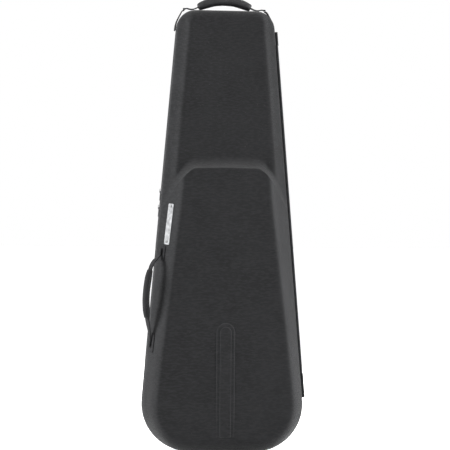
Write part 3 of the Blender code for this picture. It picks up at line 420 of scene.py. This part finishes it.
LEATHER = leather("grip_leather", (0.012, 0.012, 0.013), (0.026, 0.026, 0.028))
PLUSH = plush("lining_plush", (0.022, 0.022, 0.026), (0.042, 0.042, 0.048), 1400.0)
FOAM = plush("foam_plush", (0.026, 0.026, 0.030), (0.048, 0.048, 0.054), 1100.0)
ZIP_METAL = metal(
    "zip_metal",
    colour=(0.10, 0.10, 0.105),
    roughness=0.34,
    stretch=(1.0, 1.0, 4.0),
    scratches=0.00002,
    dirt=0.5,
)
ALUMINIUM = metal(
    "plate_metal",
    colour=(0.20, 0.204, 0.21),
    roughness=0.58,
    stretch=(8.0, 8.0, 0.4),
    scratches=0.00003,
    dirt=0.35,
    metallic=0.2,
)
RIVET = metal(
    "rivet_metal",
    colour=(0.10, 0.10, 0.10),
    roughness=0.38,
    stretch=EVEN,
    scratches=0.00002,
    dirt=0.6,
)

# Shells: the CAD source's own outline, profiles and numbers, with more stations

# Outline of both shells, seen from the front
CASE_HEIGHT = 1.067
BASE_HALF_WIDTH = 0.206
TOP_HALF_WIDTH = 0.116
BOTTOM_CORNER = 0.112
TOP_CORNER = 0.046

# Shells
RIM_DEPTH = 0.008
BODY_DEPTH = 0.0596
NECK_DEPTH = 0.0350
REAR_DEPTH = 0.0620
SHELL_WALL = 0.0040
PLATEAU_DISH = 0.0008
DISH_RUN = 0.08

# Ridge round the front shell: its inset grows up the body and is constant on the neck
RIDGE_INSET_LOW = 0.028
RIDGE_INSET_HIGH = 0.044
RIDGE_LOW_Z = 0.170
RIDGE_HIGH_Z = 0.607
NECK_RIDGE_INSET = 0.027
RIDGE_FOOT = 0.011

# Arched step from the body section down to the neck section
ARCH_CREST_Z = 0.685
ARCH_RAMP = 0.032
ARCH_FALL = 0.112
ARCH_REACH = 0.075
ARCH_POWER = 1.65
ARCH_SHARES = (-0.12, -0.03, 0.0, 0.05, 0.15, 0.35, 0.6, 0.85, 1.05)
ARCH_TOP_LEVEL = 0.96
ARCH_MARGIN = 0.02
ARCH_PULL_LOW_Z = 0.25
ARCH_PULL_HIGH_Z = 0.96

# Embossed rib on the front, an outer panel with a narrower one on it
RIB_HALF_WIDTH = 0.0220
RIB_CORE_HALF_WIDTH = 0.0135
RIB_TOP_Z = 0.311
RIB_BOTTOM_Z = 0.038
RIB_RELIEF = 0.0010
RIB_CORE_RELIEF = 0.0008

# Zip and piping. RIM_SLANT is how far a rim's inner edge reaches past its outer one
FIT = 0.0003
PIPING_RADIUS = 0.0017
RIM_SLANT = 0.0009
TAPE_THICK = 0.0010
COIL_RADIUS = 0.0013
ZIP_GAP = 0.0013
COIL_LOW_Z = 0.132
RIM_LOW_STEPS = 40
RIM_HIGH_STEPS = 20

SLOPE = (BASE_HALF_WIDTH - TOP_HALF_WIDTH) / CASE_HEIGHT
LEAN = math.atan(SLOPE)
TURN_LOW = math.pi / 2 + LEAN
TURN_HIGH = math.pi / 2 - LEAN

Station = collections.namedtuple("Station", "x z nx nz side low high body")


def mix(a, b, share):
    return a + (b - a) * share


def smooth(share):
    share = min(1.0, max(0.0, share))
    return share * share * (3.0 - 2.0 * share)


def mesh_from(name, points, faces):
    mesh = bpy.data.meshes.new(name)
    mesh.from_pydata([tuple(point) for point in points], [], faces)
    mesh.validate()
    return mesh


# Outline


def half_width(z):
    return BASE_HALF_WIDTH - SLOPE * z


def corner_centre(radius, z):
    return half_width(z) - radius / math.cos(LEAN), z


LOW_CENTRE = corner_centre(BOTTOM_CORNER, BOTTOM_CORNER)
HIGH_CENTRE = corner_centre(TOP_CORNER, CASE_HEIGHT - TOP_CORNER)
SIDE_LOW_Z = LOW_CENTRE[1] + BOTTOM_CORNER * math.sin(LEAN)
SIDE_HIGH_Z = HIGH_CENTRE[1] + TOP_CORNER * math.sin(LEAN)


def arch_fall(inset):
    """How far the arch's crest lies below its middle, at this inset."""
    return ARCH_FALL * max(0.0, 1.0 - inset / ARCH_REACH) ** ARCH_POWER


def arch_rows():
    """Heights of the rows across the arched step, each with its share of the body's depth."""
    rows = []
    for share in ARCH_SHARES:
        level = 1.0 if share < 0 else (1.0 - min(share, 1.0)) ** 2 * ARCH_TOP_LEVEL
        rows.append((ARCH_CREST_Z + ARCH_RAMP * share, level))
    return rows


def side_rows(below, above):
    """Side rows below, across and above the arched step, as (height, body share)."""
    arch = arch_rows()
    low, high = arch[0][0], arch[-1][0]
    rows = [(mix(SIDE_LOW_Z, low, i / below), 1.0) for i in range(1, below)]
    rows += arch
    rows += [(mix(high, SIDE_HIGH_Z, i / above), 0.0) for i in range(1, above)]
    return rows


def plain_rows(count):
    return [(mix(SIDE_LOW_Z, SIDE_HIGH_Z, i / count), 1.0) for i in range(1, count)]


def arc_stations(centre, radius, start, turn, steps, low, body):
    made = []
    for step in range(steps + 1):
        angle = start + turn * step / steps
        nx, nz = math.cos(angle), math.sin(angle)
        share = smooth(step / steps)
        weights = (1.0 - share, 0.0) if low else (0.0, share)
        spot = (centre[0] + radius * nx, centre[1] + radius * nz)
        made.append(Station(*spot, nx, nz, False, *weights, body))
    return made


def half_outline(flat_low, arc_low, rows, arc_high, flat_high):
    """Stations up the right half of the outline, from its bottom middle to its top middle."""
    made = []
    for step in range(flat_low):
        made.append(Station(LOW_CENTRE[0] * step / flat_low, 0.0, 0.0, -1.0, False, 1.0, 0.0, 1.0))
    made += arc_stations(LOW_CENTRE, BOTTOM_CORNER, -math.pi / 2, TURN_LOW, 2 * arc_low, True, 1.0)
    for z, body in rows:
        made.append(
            Station(half_width(z), z, math.cos(LEAN), math.sin(LEAN), True, 0.0, 0.0, body)
        )
    top_body = rows[-1][1]
    made += arc_stations(HIGH_CENTRE, TOP_CORNER, LEAN, TURN_HIGH, 2 * arc_high, False, top_body)
    for step in range(1, flat_high + 1):
        x = HIGH_CENTRE[0] * (1.0 - step / flat_high)
        made.append(Station(x, CASE_HEIGHT, 0.0, 1.0, False, 0.0, 1.0, top_body))
    return made


# Shell profiles, as (inset, depth) from the rim to the plateau


def ridge_inset(z):
    share = (z - RIDGE_LOW_Z) / (RIDGE_HIGH_Z - RIDGE_LOW_Z)
    return mix(RIDGE_INSET_LOW, RIDGE_INSET_HIGH, min(1.0, max(0.0, share)))


def body_profile(z):
    ridge = ridge_inset(z)
    foot = ridge - RIDGE_FOOT
    return [
        (0.0, RIM_DEPTH),
        (0.001, RIM_DEPTH + 0.006),
        (foot / 2, BODY_DEPTH * 0.46),
        (foot, BODY_DEPTH - 0.0166),
        (ridge - 0.005, BODY_DEPTH - 0.0086),
        (ridge, BODY_DEPTH - 0.0031),
        (ridge + 0.004, BODY_DEPTH - 0.0006),
        (ridge + 0.010, BODY_DEPTH),
    ]


def neck_profile(z):
    ridge = NECK_RIDGE_INSET
    return [
        (0.0, RIM_DEPTH),
        (0.001, RIM_DEPTH + 0.005),
        (ridge - 0.018, NECK_DEPTH - 0.0165),
        (ridge - 0.010, NECK_DEPTH - 0.0110),
        (ridge - 0.005, NECK_DEPTH - 0.0065),
        (ridge, NECK_DEPTH - 0.0020),
        (ridge + 0.004, NECK_DEPTH - 0.0004),
        (ridge + 0.010, NECK_DEPTH),
    ]


def bottom_profile(z):
    return [
        (0.0, RIM_DEPTH),
        (0.0, RIM_DEPTH + 0.012),
        (0.0, RIM_DEPTH + 0.018),
        (0.0005, BODY_DEPTH - 0.0276),
        (0.006, BODY_DEPTH - 0.0146),
        (0.016, BODY_DEPTH - 0.0056),
        (0.024, BODY_DEPTH - 0.0011),
        (0.032, BODY_DEPTH),
    ]


def top_profile(z):
    return [
        (0.0, RIM_DEPTH),
        (0.0005, RIM_DEPTH + 0.006),
        (0.0015, RIM_DEPTH + 0.010),
        (0.003, NECK_DEPTH - 0.0130),
        (0.008, NECK_DEPTH - 0.0070),
        (0.016, NECK_DEPTH - 0.0020),
        (0.021, NECK_DEPTH - 0.0004),
        (0.028, NECK_DEPTH),
    ]


def rear_side_profile(z):
    return [
        (0.0, RIM_DEPTH),
        (0.001, REAR_DEPTH - 0.030),
        (0.0025, REAR_DEPTH - 0.014),
        (0.007, REAR_DEPTH - 0.004),
        (0.014, REAR_DEPTH - 0.0005),
        (0.024, REAR_DEPTH),
    ]


def rear_end_profile(z):
    return [
        (0.0, RIM_DEPTH),
        (0.0, REAR_DEPTH - 0.030),
        (0.0, REAR_DEPTH - 0.012),
        (0.005, REAR_DEPTH - 0.0035),
        (0.014, REAR_DEPTH - 0.0005),
        (0.024, REAR_DEPTH),
    ]


FRONT = (body_profile, neck_profile, bottom_profile, top_profile)
REAR = (rear_side_profile, rear_side_profile, rear_end_profile, rear_end_profile)


def profile_at(station, family, z):
    """The profile at a station, blended from its family of four by the station's weights."""
    body, neck, bottom, top = (kind(z) for kind in family)
    blended = []
    for index in range(len(body)):
        pair = []
        for axis in range(2):
            value = mix(neck[index][axis], body[index][axis], station.body)
            value = mix(value, bottom[index][axis], station.low)
            pair.append(mix(value, top[index][axis], station.high))
        blended.append(pair)
    return blended


def arch_pull(z):
    """1 where the rows follow the arch, falling to 0 well below and above it."""
    low = ARCH_CREST_Z - ARCH_MARGIN
    high = ARCH_CREST_Z + ARCH_RAMP + ARCH_MARGIN
    if z < low:
        return max(0.0, (z - ARCH_PULL_LOW_Z) / (low - ARCH_PULL_LOW_Z))
    if z > high:
        return max(0.0, (ARCH_PULL_HIGH_Z - z) / (ARCH_PULL_HIGH_Z - high))
    return 1.0


def bend_to_arch(x, z):
    """Moves a point down along its own inset line, so that rows follow the arch."""
    inset = (half_width(z) - x) * math.cos(LEAN)
    fall = arch_fall(inset) * arch_pull(z)
    return x + SLOPE * fall, z - fall


def ring_spot(station, family, ring, stepped):
    """One ring's point at a station, before the rows are bent, and its depth."""
    if not station.side:
        inset, depth = profile_at(station, family, station.z)[ring]
        return station.x - station.nx * inset, station.z - station.nz * inset, depth
    z = station.z
    for _ in range(3):
        inset, depth = profile_at(station, family, z)[ring]
        fall = arch_fall(inset) * arch_pull(station.z) if stepped else 0.0
        z = station.z - fall
    return half_width(station.z) - inset / math.cos(LEAN), station.z, depth


def patch(low, high, left, right, columns, rows):
    """Points of a four-sided patch between its edges, rows running from `low` to `high`."""
    grid = []
    for row in range(rows + 1):
        v = (left[row].y - left[0].y) / (left[rows].y - left[0].y)
        line = []
        for column in range(columns + 1):
            u = column / columns
            sides = left[row].lerp(right[row], u)
            ends = low[column].lerp(high[column], v)
            corners = low[0].lerp(low[columns], u).lerp(high[0].lerp(high[columns], u), v)
            line.append(sides + ends - corners)
        grid.append(line)
    return grid


def shell_half(name, family, stations, columns, facing, stepped):
    """The right half of a shell's surface. `facing` is -1 for the front and 1 for the rear.

    Each profile point makes a ring round the shell, and the plateau inside the last ring is a
    patch. `stepped` is true on the shell with the arched step.
    """
    flat = []
    for ring in range(len(family[0](0.0))):
        flat.append([ring_spot(station, family, ring, stepped) for station in stations])
    last = [Vector(spot) for spot in flat[-1]]
    rows = len(stations) - 1 - 2 * columns
    hollow = PLATEAU_DISH if stepped else 0.0
    middle = []
    first_side = next(i for i, station in enumerate(stations) if station.side) - 1 - columns
    last_side = max(i for i, station in enumerate(stations) if station.side) + 1 - columns
    for row in range(rows + 1):
        station = stations[columns + row]
        if row < first_side:
            z = mix(last[0].y, last[columns + first_side].y, row / first_side)
        elif row > last_side:
            share = (row - last_side) / (rows - last_side)
            z = mix(last[columns + last_side].y, last[-1].y, share)
        else:
            z = last[columns + row].y
        dish = hollow * smooth(min(z - last[0].y, last[-1].y - z) / DISH_RUN)
        middle.append(Vector((0.0, z, last[columns + row].z - dish)))
    low = last[: columns + 1]
    high = last[: -columns - 2 : -1]
    right = last[columns : columns + rows + 1]
    grid = patch(low, high, middle, right, columns, rows)

    def place(x, z, depth):
        if stepped:
            x, z = bend_to_arch(x, z)
        return (max(x, 0.0), facing * depth, z)

    points = [place(*spot) for ring in flat for spot in ring]
    count = len(stations)
    faces = []
    for ring in range(len(flat) - 1):
        for index in range(count - 1):
            a = ring * count + index
            faces.append((a, a + 1, a + count + 1, a + count))
    start = len(points)
    inner = {}
    edge = (len(flat) - 1) * count
    for row in range(rows + 1):
        for column in range(columns + 1):
            if row == 0:
                inner[row, column] = edge + column
            elif row == rows:
                inner[row, column] = edge + count - 1 - column
            elif column == columns:
                inner[row, column] = edge + columns + row
            else:
                inner[row, column] = start + (row - 1) * columns + column
                points.append(place(*grid[row][column]))
    for row in range(rows):
        for column in range(columns):
            a, b = inner[row, column], inner[row, column + 1]
            c, d = inner[row + 1, column + 1], inner[row + 1, column]
            faces.append((a, b, c, d))
    if facing > 0:
        faces = [face[::-1] for face in faces]
    return mesh_from(name, points, faces)


def rim_path(inset):
    """The outline at an inset, once round from the right side's lower end, as (x, z)."""
    low = arc_stations(LOW_CENTRE, BOTTOM_CORNER, -math.pi / 2, TURN_LOW, RIM_LOW_STEPS, True, 1.0)
    high = arc_stations(HIGH_CENTRE, TOP_CORNER, LEAN, TURN_HIGH, RIM_HIGH_STEPS, False, 1.0)
    right = [(s.x - s.nx * inset, s.z - s.nz * inset) for s in low + high]
    left = [(-x, z) for x, z in right]
    start = len(low)
    return right[:start][::-1] + left + right[start:][::-1]


# Dressed pieces

SHELL_SMOOTHING = 2
RIB_CORE_DROP = 0.009
RIB_SLOPE = 0.0016
RIB_CORE_SLOPE = 0.0014
RIB_FOOT = 0.0012
RIB_END_STEPS = 8
RIB_SIDE_STEPS = 40
RIB_ARC_STEPS = 24

TOOTH_STEP = 0.00032
TOOTH_SIDES = 5
TOOTH_WIRE = 0.0004

WELD_GAP = 0.00002
FLAT_ANGLE = 2.0
METAL_EDGE = 0.0002
PAD_EDGE = 0.003
STRAP_EDGE = 0.0004
ANCHOR_EDGE = 0.0003

STITCH_LENGTH = 0.0026
STITCH_GAP = 0.0012
STITCH_RADIUS = 0.00035
STITCH_SIDES = 6
STITCH_FORM = ((0.0, 0.4), (0.2, 1.0), (0.8, 1.0), (1.0, 0.4))
SHOULDER_MARGIN = 0.0025
SHOULDER_LOW_ANGLE = 8.0
SHOULDER_HIGH_ANGLE = 62.0
SHOULDER_TOP_Z = 1.066
SHOULDER_REACH = 0.12
ANCHOR_HALF_WIDTH = 0.0078
ANCHOR_OUT = (-0.76, -0.65, 0.06)
ANCHOR_REACH = 0.05
RAY_LENGTH = 0.10


def add_piece(name, data, look, body, replaces=()):
    piece = bpy.data.objects.new(name, data)
    bpy.context.scene.collection.objects.link(piece)
    data.materials.clear()
    data.materials.append(look)
    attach(piece, body)
    if replaces:
        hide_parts(*replaces)
    return piece


def smooth_piece(piece, sharp=None):
    piece.data.shade_smooth()
    if sharp is not None:
        piece.data.set_sharp_from_angle(angle=math.radians(sharp))


def subdivide(piece, levels):
    step = piece.modifiers.new("smooth", "SUBSURF")
    step.levels = levels
    step.render_levels = levels


def dress_shell(name, mesh, body, node):
    """A dense fabric-covered shell that stands for the CAD shell of the same form."""
    piece = add_piece(name, mesh, FABRIC, body, (node,))
    half = piece.modifiers.new("other half", "MIRROR")
    half.merge_threshold = 0.0001
    subdivide(piece, SHELL_SMOOTHING)
    wall = piece.modifiers.new("wall", "SOLIDIFY")
    wall.thickness = SHELL_WALL
    wall.offset = -1
    smooth_piece(piece)


def rib_ring(half, top, inset, depth):
    """The rib's round-topped outline at an inset, once round from its lower left corner."""
    reach = half - inset
    low = RIB_BOTTOM_Z + inset
    high = top - half
    ring = []
    for step in range(RIB_END_STEPS + 1):
        ring.append((mix(-reach, reach, step / RIB_END_STEPS), low))
    for step in range(1, RIB_SIDE_STEPS):
        ring.append((reach, mix(low, high, step / RIB_SIDE_STEPS)))
    for step in range(RIB_ARC_STEPS + 1):
        angle = math.pi * step / RIB_ARC_STEPS
        ring.append((reach * math.cos(angle), high + reach * math.sin(angle)))
    for step in range(1, RIB_SIDE_STEPS):
        ring.append((-reach, mix(high, low, step / RIB_SIDE_STEPS)))
    return [(x, -depth, z) for x, z in ring]


def rib_piece(name, half, top, low_depth, relief, slope):
    """An embossed panel whose edge slopes from the plateau up to its face."""
    face_depth = low_depth + relief
    section = (
        (-slope, low_depth - RIB_FOOT),
        (-0.4 * slope, low_depth - 0.0001),
        (0.0, mix(low_depth, face_depth, 0.55)),
        (0.5 * slope, face_depth),
        (1.5 * slope, face_depth),
    )
    rings = [rib_ring(half, top, inset, depth) for inset, depth in section]
    count = len(rings[0])
    points = [point for ring in rings for point in ring]
    faces = []
    for ring in range(len(rings) - 1):
        for index in range(count):
            a = ring * count + index
            b = ring * count + (index + 1) % count
            faces.append((a, b, b + count, a + count))
    faces.append(tuple(range((len(rings) - 1) * count, len(rings) * count)))
    faces.append(tuple(reversed(range(count))))
    piece = add_piece(name, mesh_from(name, points, faces), FABRIC, "lid")
    smooth_piece(piece, 50)


def loop_tube(name, points, radius, sides, closed):
    """A round tube along points, as a curve's data."""
    curve = bpy.data.curves.new(name, "CURVE")
    curve.dimensions = "3D"
    spline = curve.splines.new("POLY")
    spline.points.add(len(points) - 1)
    for index, point in enumerate(points):
        spline.points[index].co = (*point, 1.0)
    spline.use_cyclic_u = closed
    curve.bevel_depth = radius
    curve.bevel_resolution = sides
    curve.use_fill_caps = not closed
    return curve


def even_path(points, gap):
    """Points along a path at an even distance."""
    spots = [Vector(point) for point in points]
    found = [spots[0]]
    left = gap
    for a, b in zip(spots, spots[1:]):
        length = (b - a).length
        while length >= left:
            a = a + (b - a) * (left / length)
            length = (b - a).length
            found.append(a)
            left = gap
        left -= length
    return found


def coil_round(spine):
    """A fine helix round a path, as the zip's coil of teeth."""
    across = Vector((0.0, 1.0, 0.0))
    reach = COIL_RADIUS - TOOTH_WIRE
    coil = []
    for index, spot in enumerate(spine[:-1]):
        along = (spine[index + 1] - spot).normalized()
        out = across.cross(along).normalized()
        angle = 2 * math.pi * index / TOOTH_SIDES
        coil.append(spot + (across * math.cos(angle) + out * math.sin(angle)) * reach)
    return coil


def dress_rims():
    piping_y = RIM_DEPTH - RIM_SLANT - PIPING_RADIUS
    tape_inset = 2 * PIPING_RADIUS + FIT + TAPE_THICK / 2 + FIT
    coil_inset = tape_inset - TAPE_THICK / 2 - FIT - COIL_RADIUS
    coil_y = ZIP_GAP / 2 + COIL_RADIUS
    coil_start = (half_width(COIL_LOW_Z) - coil_inset / math.cos(LEAN), COIL_LOW_Z)
    for side, facing, body in (("front", -1, "lid"), ("rear", 1, "base")):
        name = side + "_piping_cord"
        loop = [(x, facing * piping_y, z) for x, z in rim_path(PIPING_RADIUS)]
        cord = loop_tube(name, loop, PIPING_RADIUS, 4, True)
        add_piece(name, cord, PIPING, body, (side + "_piping",))
        name = side + "_zip_teeth"
        run = [(x, facing * coil_y, z) for x, z in [coil_start, *rim_path(coil_inset)]]
        teeth = loop_tube(name, coil_round(even_path(run, TOOTH_STEP)), TOOTH_WIRE, 1, False)
        add_piece(name, teeth, COIL, body, (side + "_zip_coil",))


def soft_copy(name, node, look, body, levels=0, edge=0.0):
    """A soft piece in its CAD solid's place: the same form, with rounded edges where `edge` or
    `levels` is given.
    """
    mesh = NODES[node].data.copy()
    work = bmesh.new()
    work.from_mesh(mesh)
    bmesh.ops.remove_doubles(work, verts=work.verts, dist=WELD_GAP)
    flat = math.radians(FLAT_ANGLE)
    bmesh.ops.dissolve_limit(work, angle_limit=flat, verts=work.verts, edges=work.edges)
    if edge > 0.0:
        bmesh.ops.bevel(
            work,
            geom=list(work.edges),
            offset=edge,
            segments=2,
            affect="EDGES",
            profile=0.5,
            clamp_overlap=True,
        )
    bmesh.ops.triangulate(work, faces=[face for face in work.faces if len(face.verts) > 4])
    work.to_mesh(mesh)
    work.free()
    piece = add_piece(name, mesh, look, body, (node,))
    if levels:
        subdivide(piece, levels)
    smooth_piece(piece, None if levels else 40)
    return piece


def paint_node(node, look, edge=0.0):
    """Gives a rigid CAD piece its material and, with `edge`, softened edges."""
    piece = NODES[node]
    piece.data.materials.clear()
    piece.data.materials.append(look)
    if edge > 0.0:
        weld = piece.modifiers.new("weld", "WELD")
        weld.merge_threshold = 0.00001
        bevel = piece.modifiers.new("edges", "BEVEL")
        bevel.width = edge
        bevel.segments = 2
        bevel.limit_method = "ANGLE"


def add_stitch(points, faces, start, along):
    """One raised stitch, as a short tube that narrows at both ends."""
    side = along.orthogonal().normalized()
    other = along.cross(side)
    first = len(points)
    for share, width in STITCH_FORM:
        middle = start + along * (STITCH_LENGTH * share)
        for index in range(STITCH_SIDES):
            angle = 2 * math.pi * index / STITCH_SIDES
            turn = side * math.cos(angle) + other * math.sin(angle)
            points.append(middle + turn * STITCH_RADIUS * width)
    for ring in range(len(STITCH_FORM) - 1):
        for index in range(STITCH_SIDES):
            c = first + ring * STITCH_SIDES + index
            d = first + ring * STITCH_SIDES + (index + 1) % STITCH_SIDES
            faces.append((c, d, d + STITCH_SIDES, c + STITCH_SIDES))
    last = first + (len(STITCH_FORM) - 1) * STITCH_SIDES
    faces.append(tuple(reversed(range(first, first + STITCH_SIDES))))
    faces.append(tuple(range(last, last + STITCH_SIDES)))


def stitch_rows(name, rows, body):
    """Short raised stitches along rows of points that lie on a surface."""
    points, faces = [], []
    for row in rows:
        path = even_path(row, STITCH_LENGTH + STITCH_GAP)
        for a, b in zip(path, path[1:]):
            add_stitch(points, faces, a, (b - a).normalized())
    piece = add_piece(name, mesh_from(name, points, faces), THREAD, body)
    smooth_piece(piece, 50)


def surface_of(node):
    mesh = NODES[node].data
    points = [vertex.co.copy() for vertex in mesh.vertices]
    return BVHTree.FromPolygons(points, [tuple(face.vertices) for face in mesh.polygons])


def shoulder_rows(node, side):
    """Two rows of points along a top handle anchor, found on its own outer face."""
    surface = surface_of(node)
    low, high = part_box(node)
    rows = []
    for y in (low.y + SHOULDER_MARGIN, high.y - SHOULDER_MARGIN):
        row = []
        for step in range(30):
            angle = math.radians(mix(SHOULDER_LOW_ANGLE, SHOULDER_HIGH_ANGLE, step / 29))
            way = Vector((side * math.cos(angle), 0.0, math.sin(angle)))
            start = Vector((side * HIGH_CENTRE[0], y, HIGH_CENTRE[1])) + way * SHOULDER_REACH
            hit = surface.ray_cast(start, -way, RAY_LENGTH)[0]
            if hit is not None and hit.z < SHOULDER_TOP_Z:
                row.append(hit)
        if len(row) > 2:
            rows.append(row)
    return rows


def anchor_rows(node):
    """Two rows of points along a side handle anchor's long edges, on its outer face."""
    surface = surface_of(node)
    low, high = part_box(node)
    out = Vector(ANCHOR_OUT).normalized()
    up = Vector((SLOPE, 0.0, 1.0)).normalized()
    across = up.cross(out).normalized()
    middle = (low + high) / 2
    rows = []
    for share in (-1.0, 1.0):
        row = []
        for step in range(25):
            rise = mix(-0.5, 0.5, step / 24) * (high.z - low.z)
            place = middle + across * share * ANCHOR_HALF_WIDTH + up * rise
            hit = surface.ray_cast(place + out * ANCHOR_REACH, -out, RAY_LENGTH)[0]
            if hit is not None:
                row.append(hit)
        if len(row) > 2:
            rows.append(row)
    return rows


# Shells and rib

front_outline = half_outline(6, 8, side_rows(14, 10), 5, 8)
front_half = shell_half("front_shell_skin", FRONT, front_outline, 14, -1, True)
dress_shell("front_shell_skin", front_half, "lid", "front_shell")
rear_outline = half_outline(4, 6, plain_rows(14), 4, 6)
rear_half = shell_half("rear_shell_skin", REAR, rear_outline, 10, 1, False)
dress_shell("rear_shell_skin", rear_half, "base", "rear_shell")
plateau = BODY_DEPTH - PLATEAU_DISH
rib_piece("rib_panel_outer", RIB_HALF_WIDTH, RIB_TOP_Z, plateau, RIB_RELIEF, RIB_SLOPE)
rib_piece(
    "rib_panel_core",
    RIB_CORE_HALF_WIDTH,
    RIB_TOP_Z - RIB_CORE_DROP,
    plateau + RIB_RELIEF,
    RIB_CORE_RELIEF,
    RIB_CORE_SLOPE,
)

# Zip, hinge and linings

dress_rims()
soft_copy("front_tape_cloth", "front_zip_tape", TAPE, "lid")
soft_copy("rear_tape_cloth", "rear_zip_tape", TAPE, "base")
soft_copy("hinge_spine_band", "hinge_spine", BAND, "base")
soft_copy("hinge_leaf_band", "hinge_leaf", BAND, "lid")
soft_copy("front_lining_plush", "front_lining", PLUSH, "lid", 1)
soft_copy("rear_lining_plush", "rear_lining", PLUSH, "base", 1)

# Padding

for pad in ("neck_cradle", "headstock_pad", "butt_pad", "bout_pad_left", "bout_pad_right"):
    cushion = soft_copy(pad + "_cushion", pad, FOAM, "base", 1, PAD_EDGE)
side_padding = soft_copy(
    "side_grip_padding", "side_grip", WEBBING, "side_handle", 2
)
top_cover = soft_copy("top_grip_cover", "top_grip", LEATHER, "top_handle", 2)

# Straps, metal parts and stitching

STRAPS = (
    ("side_handle_strap", "side_webbing", "side_handle", STRAP_EDGE),
    ("top_handle_strap", "top_webbing", "top_handle", STRAP_EDGE),
    ("side_anchor_strap_upper", "side_handle_anchor_upper", "lid", ANCHOR_EDGE),
    ("side_anchor_strap_lower", "side_handle_anchor_lower", "lid", ANCHOR_EDGE),
    ("zip_end_cover_upper", "zip_end_tab_upper", "base", ANCHOR_EDGE),
    ("zip_end_cover_lower", "zip_end_tab_lower", "base", ANCHOR_EDGE),
    ("shoulder_strap_left", "top_handle_anchor_left", "base", ANCHOR_EDGE),
    ("shoulder_strap_right", "top_handle_anchor_right", "base", ANCHOR_EDGE),
)
for strap_name, node, body, edge in STRAPS:
    soft_copy(strap_name, node, WEBBING, body, 0, edge)
for end in ("upper", "lower"):
    paint_node("label_rivet_" + end, RIVET)
    paint_node("slider_" + end, ZIP_METAL, METAL_EDGE)
    paint_node("pull_" + end, ZIP_METAL, METAL_EDGE)
paint_node("label_plate", ALUMINIUM, METAL_EDGE)
shoulders = shoulder_rows("top_handle_anchor_left", -1)
shoulders += shoulder_rows("top_handle_anchor_right", 1)
stitch_rows("shoulder_stitches", shoulders, "base")
anchors = anchor_rows("side_handle_anchor_upper") + anchor_rows("side_handle_anchor_lower")
stitch_rows("side_anchor_stitches", anchors, "lid")
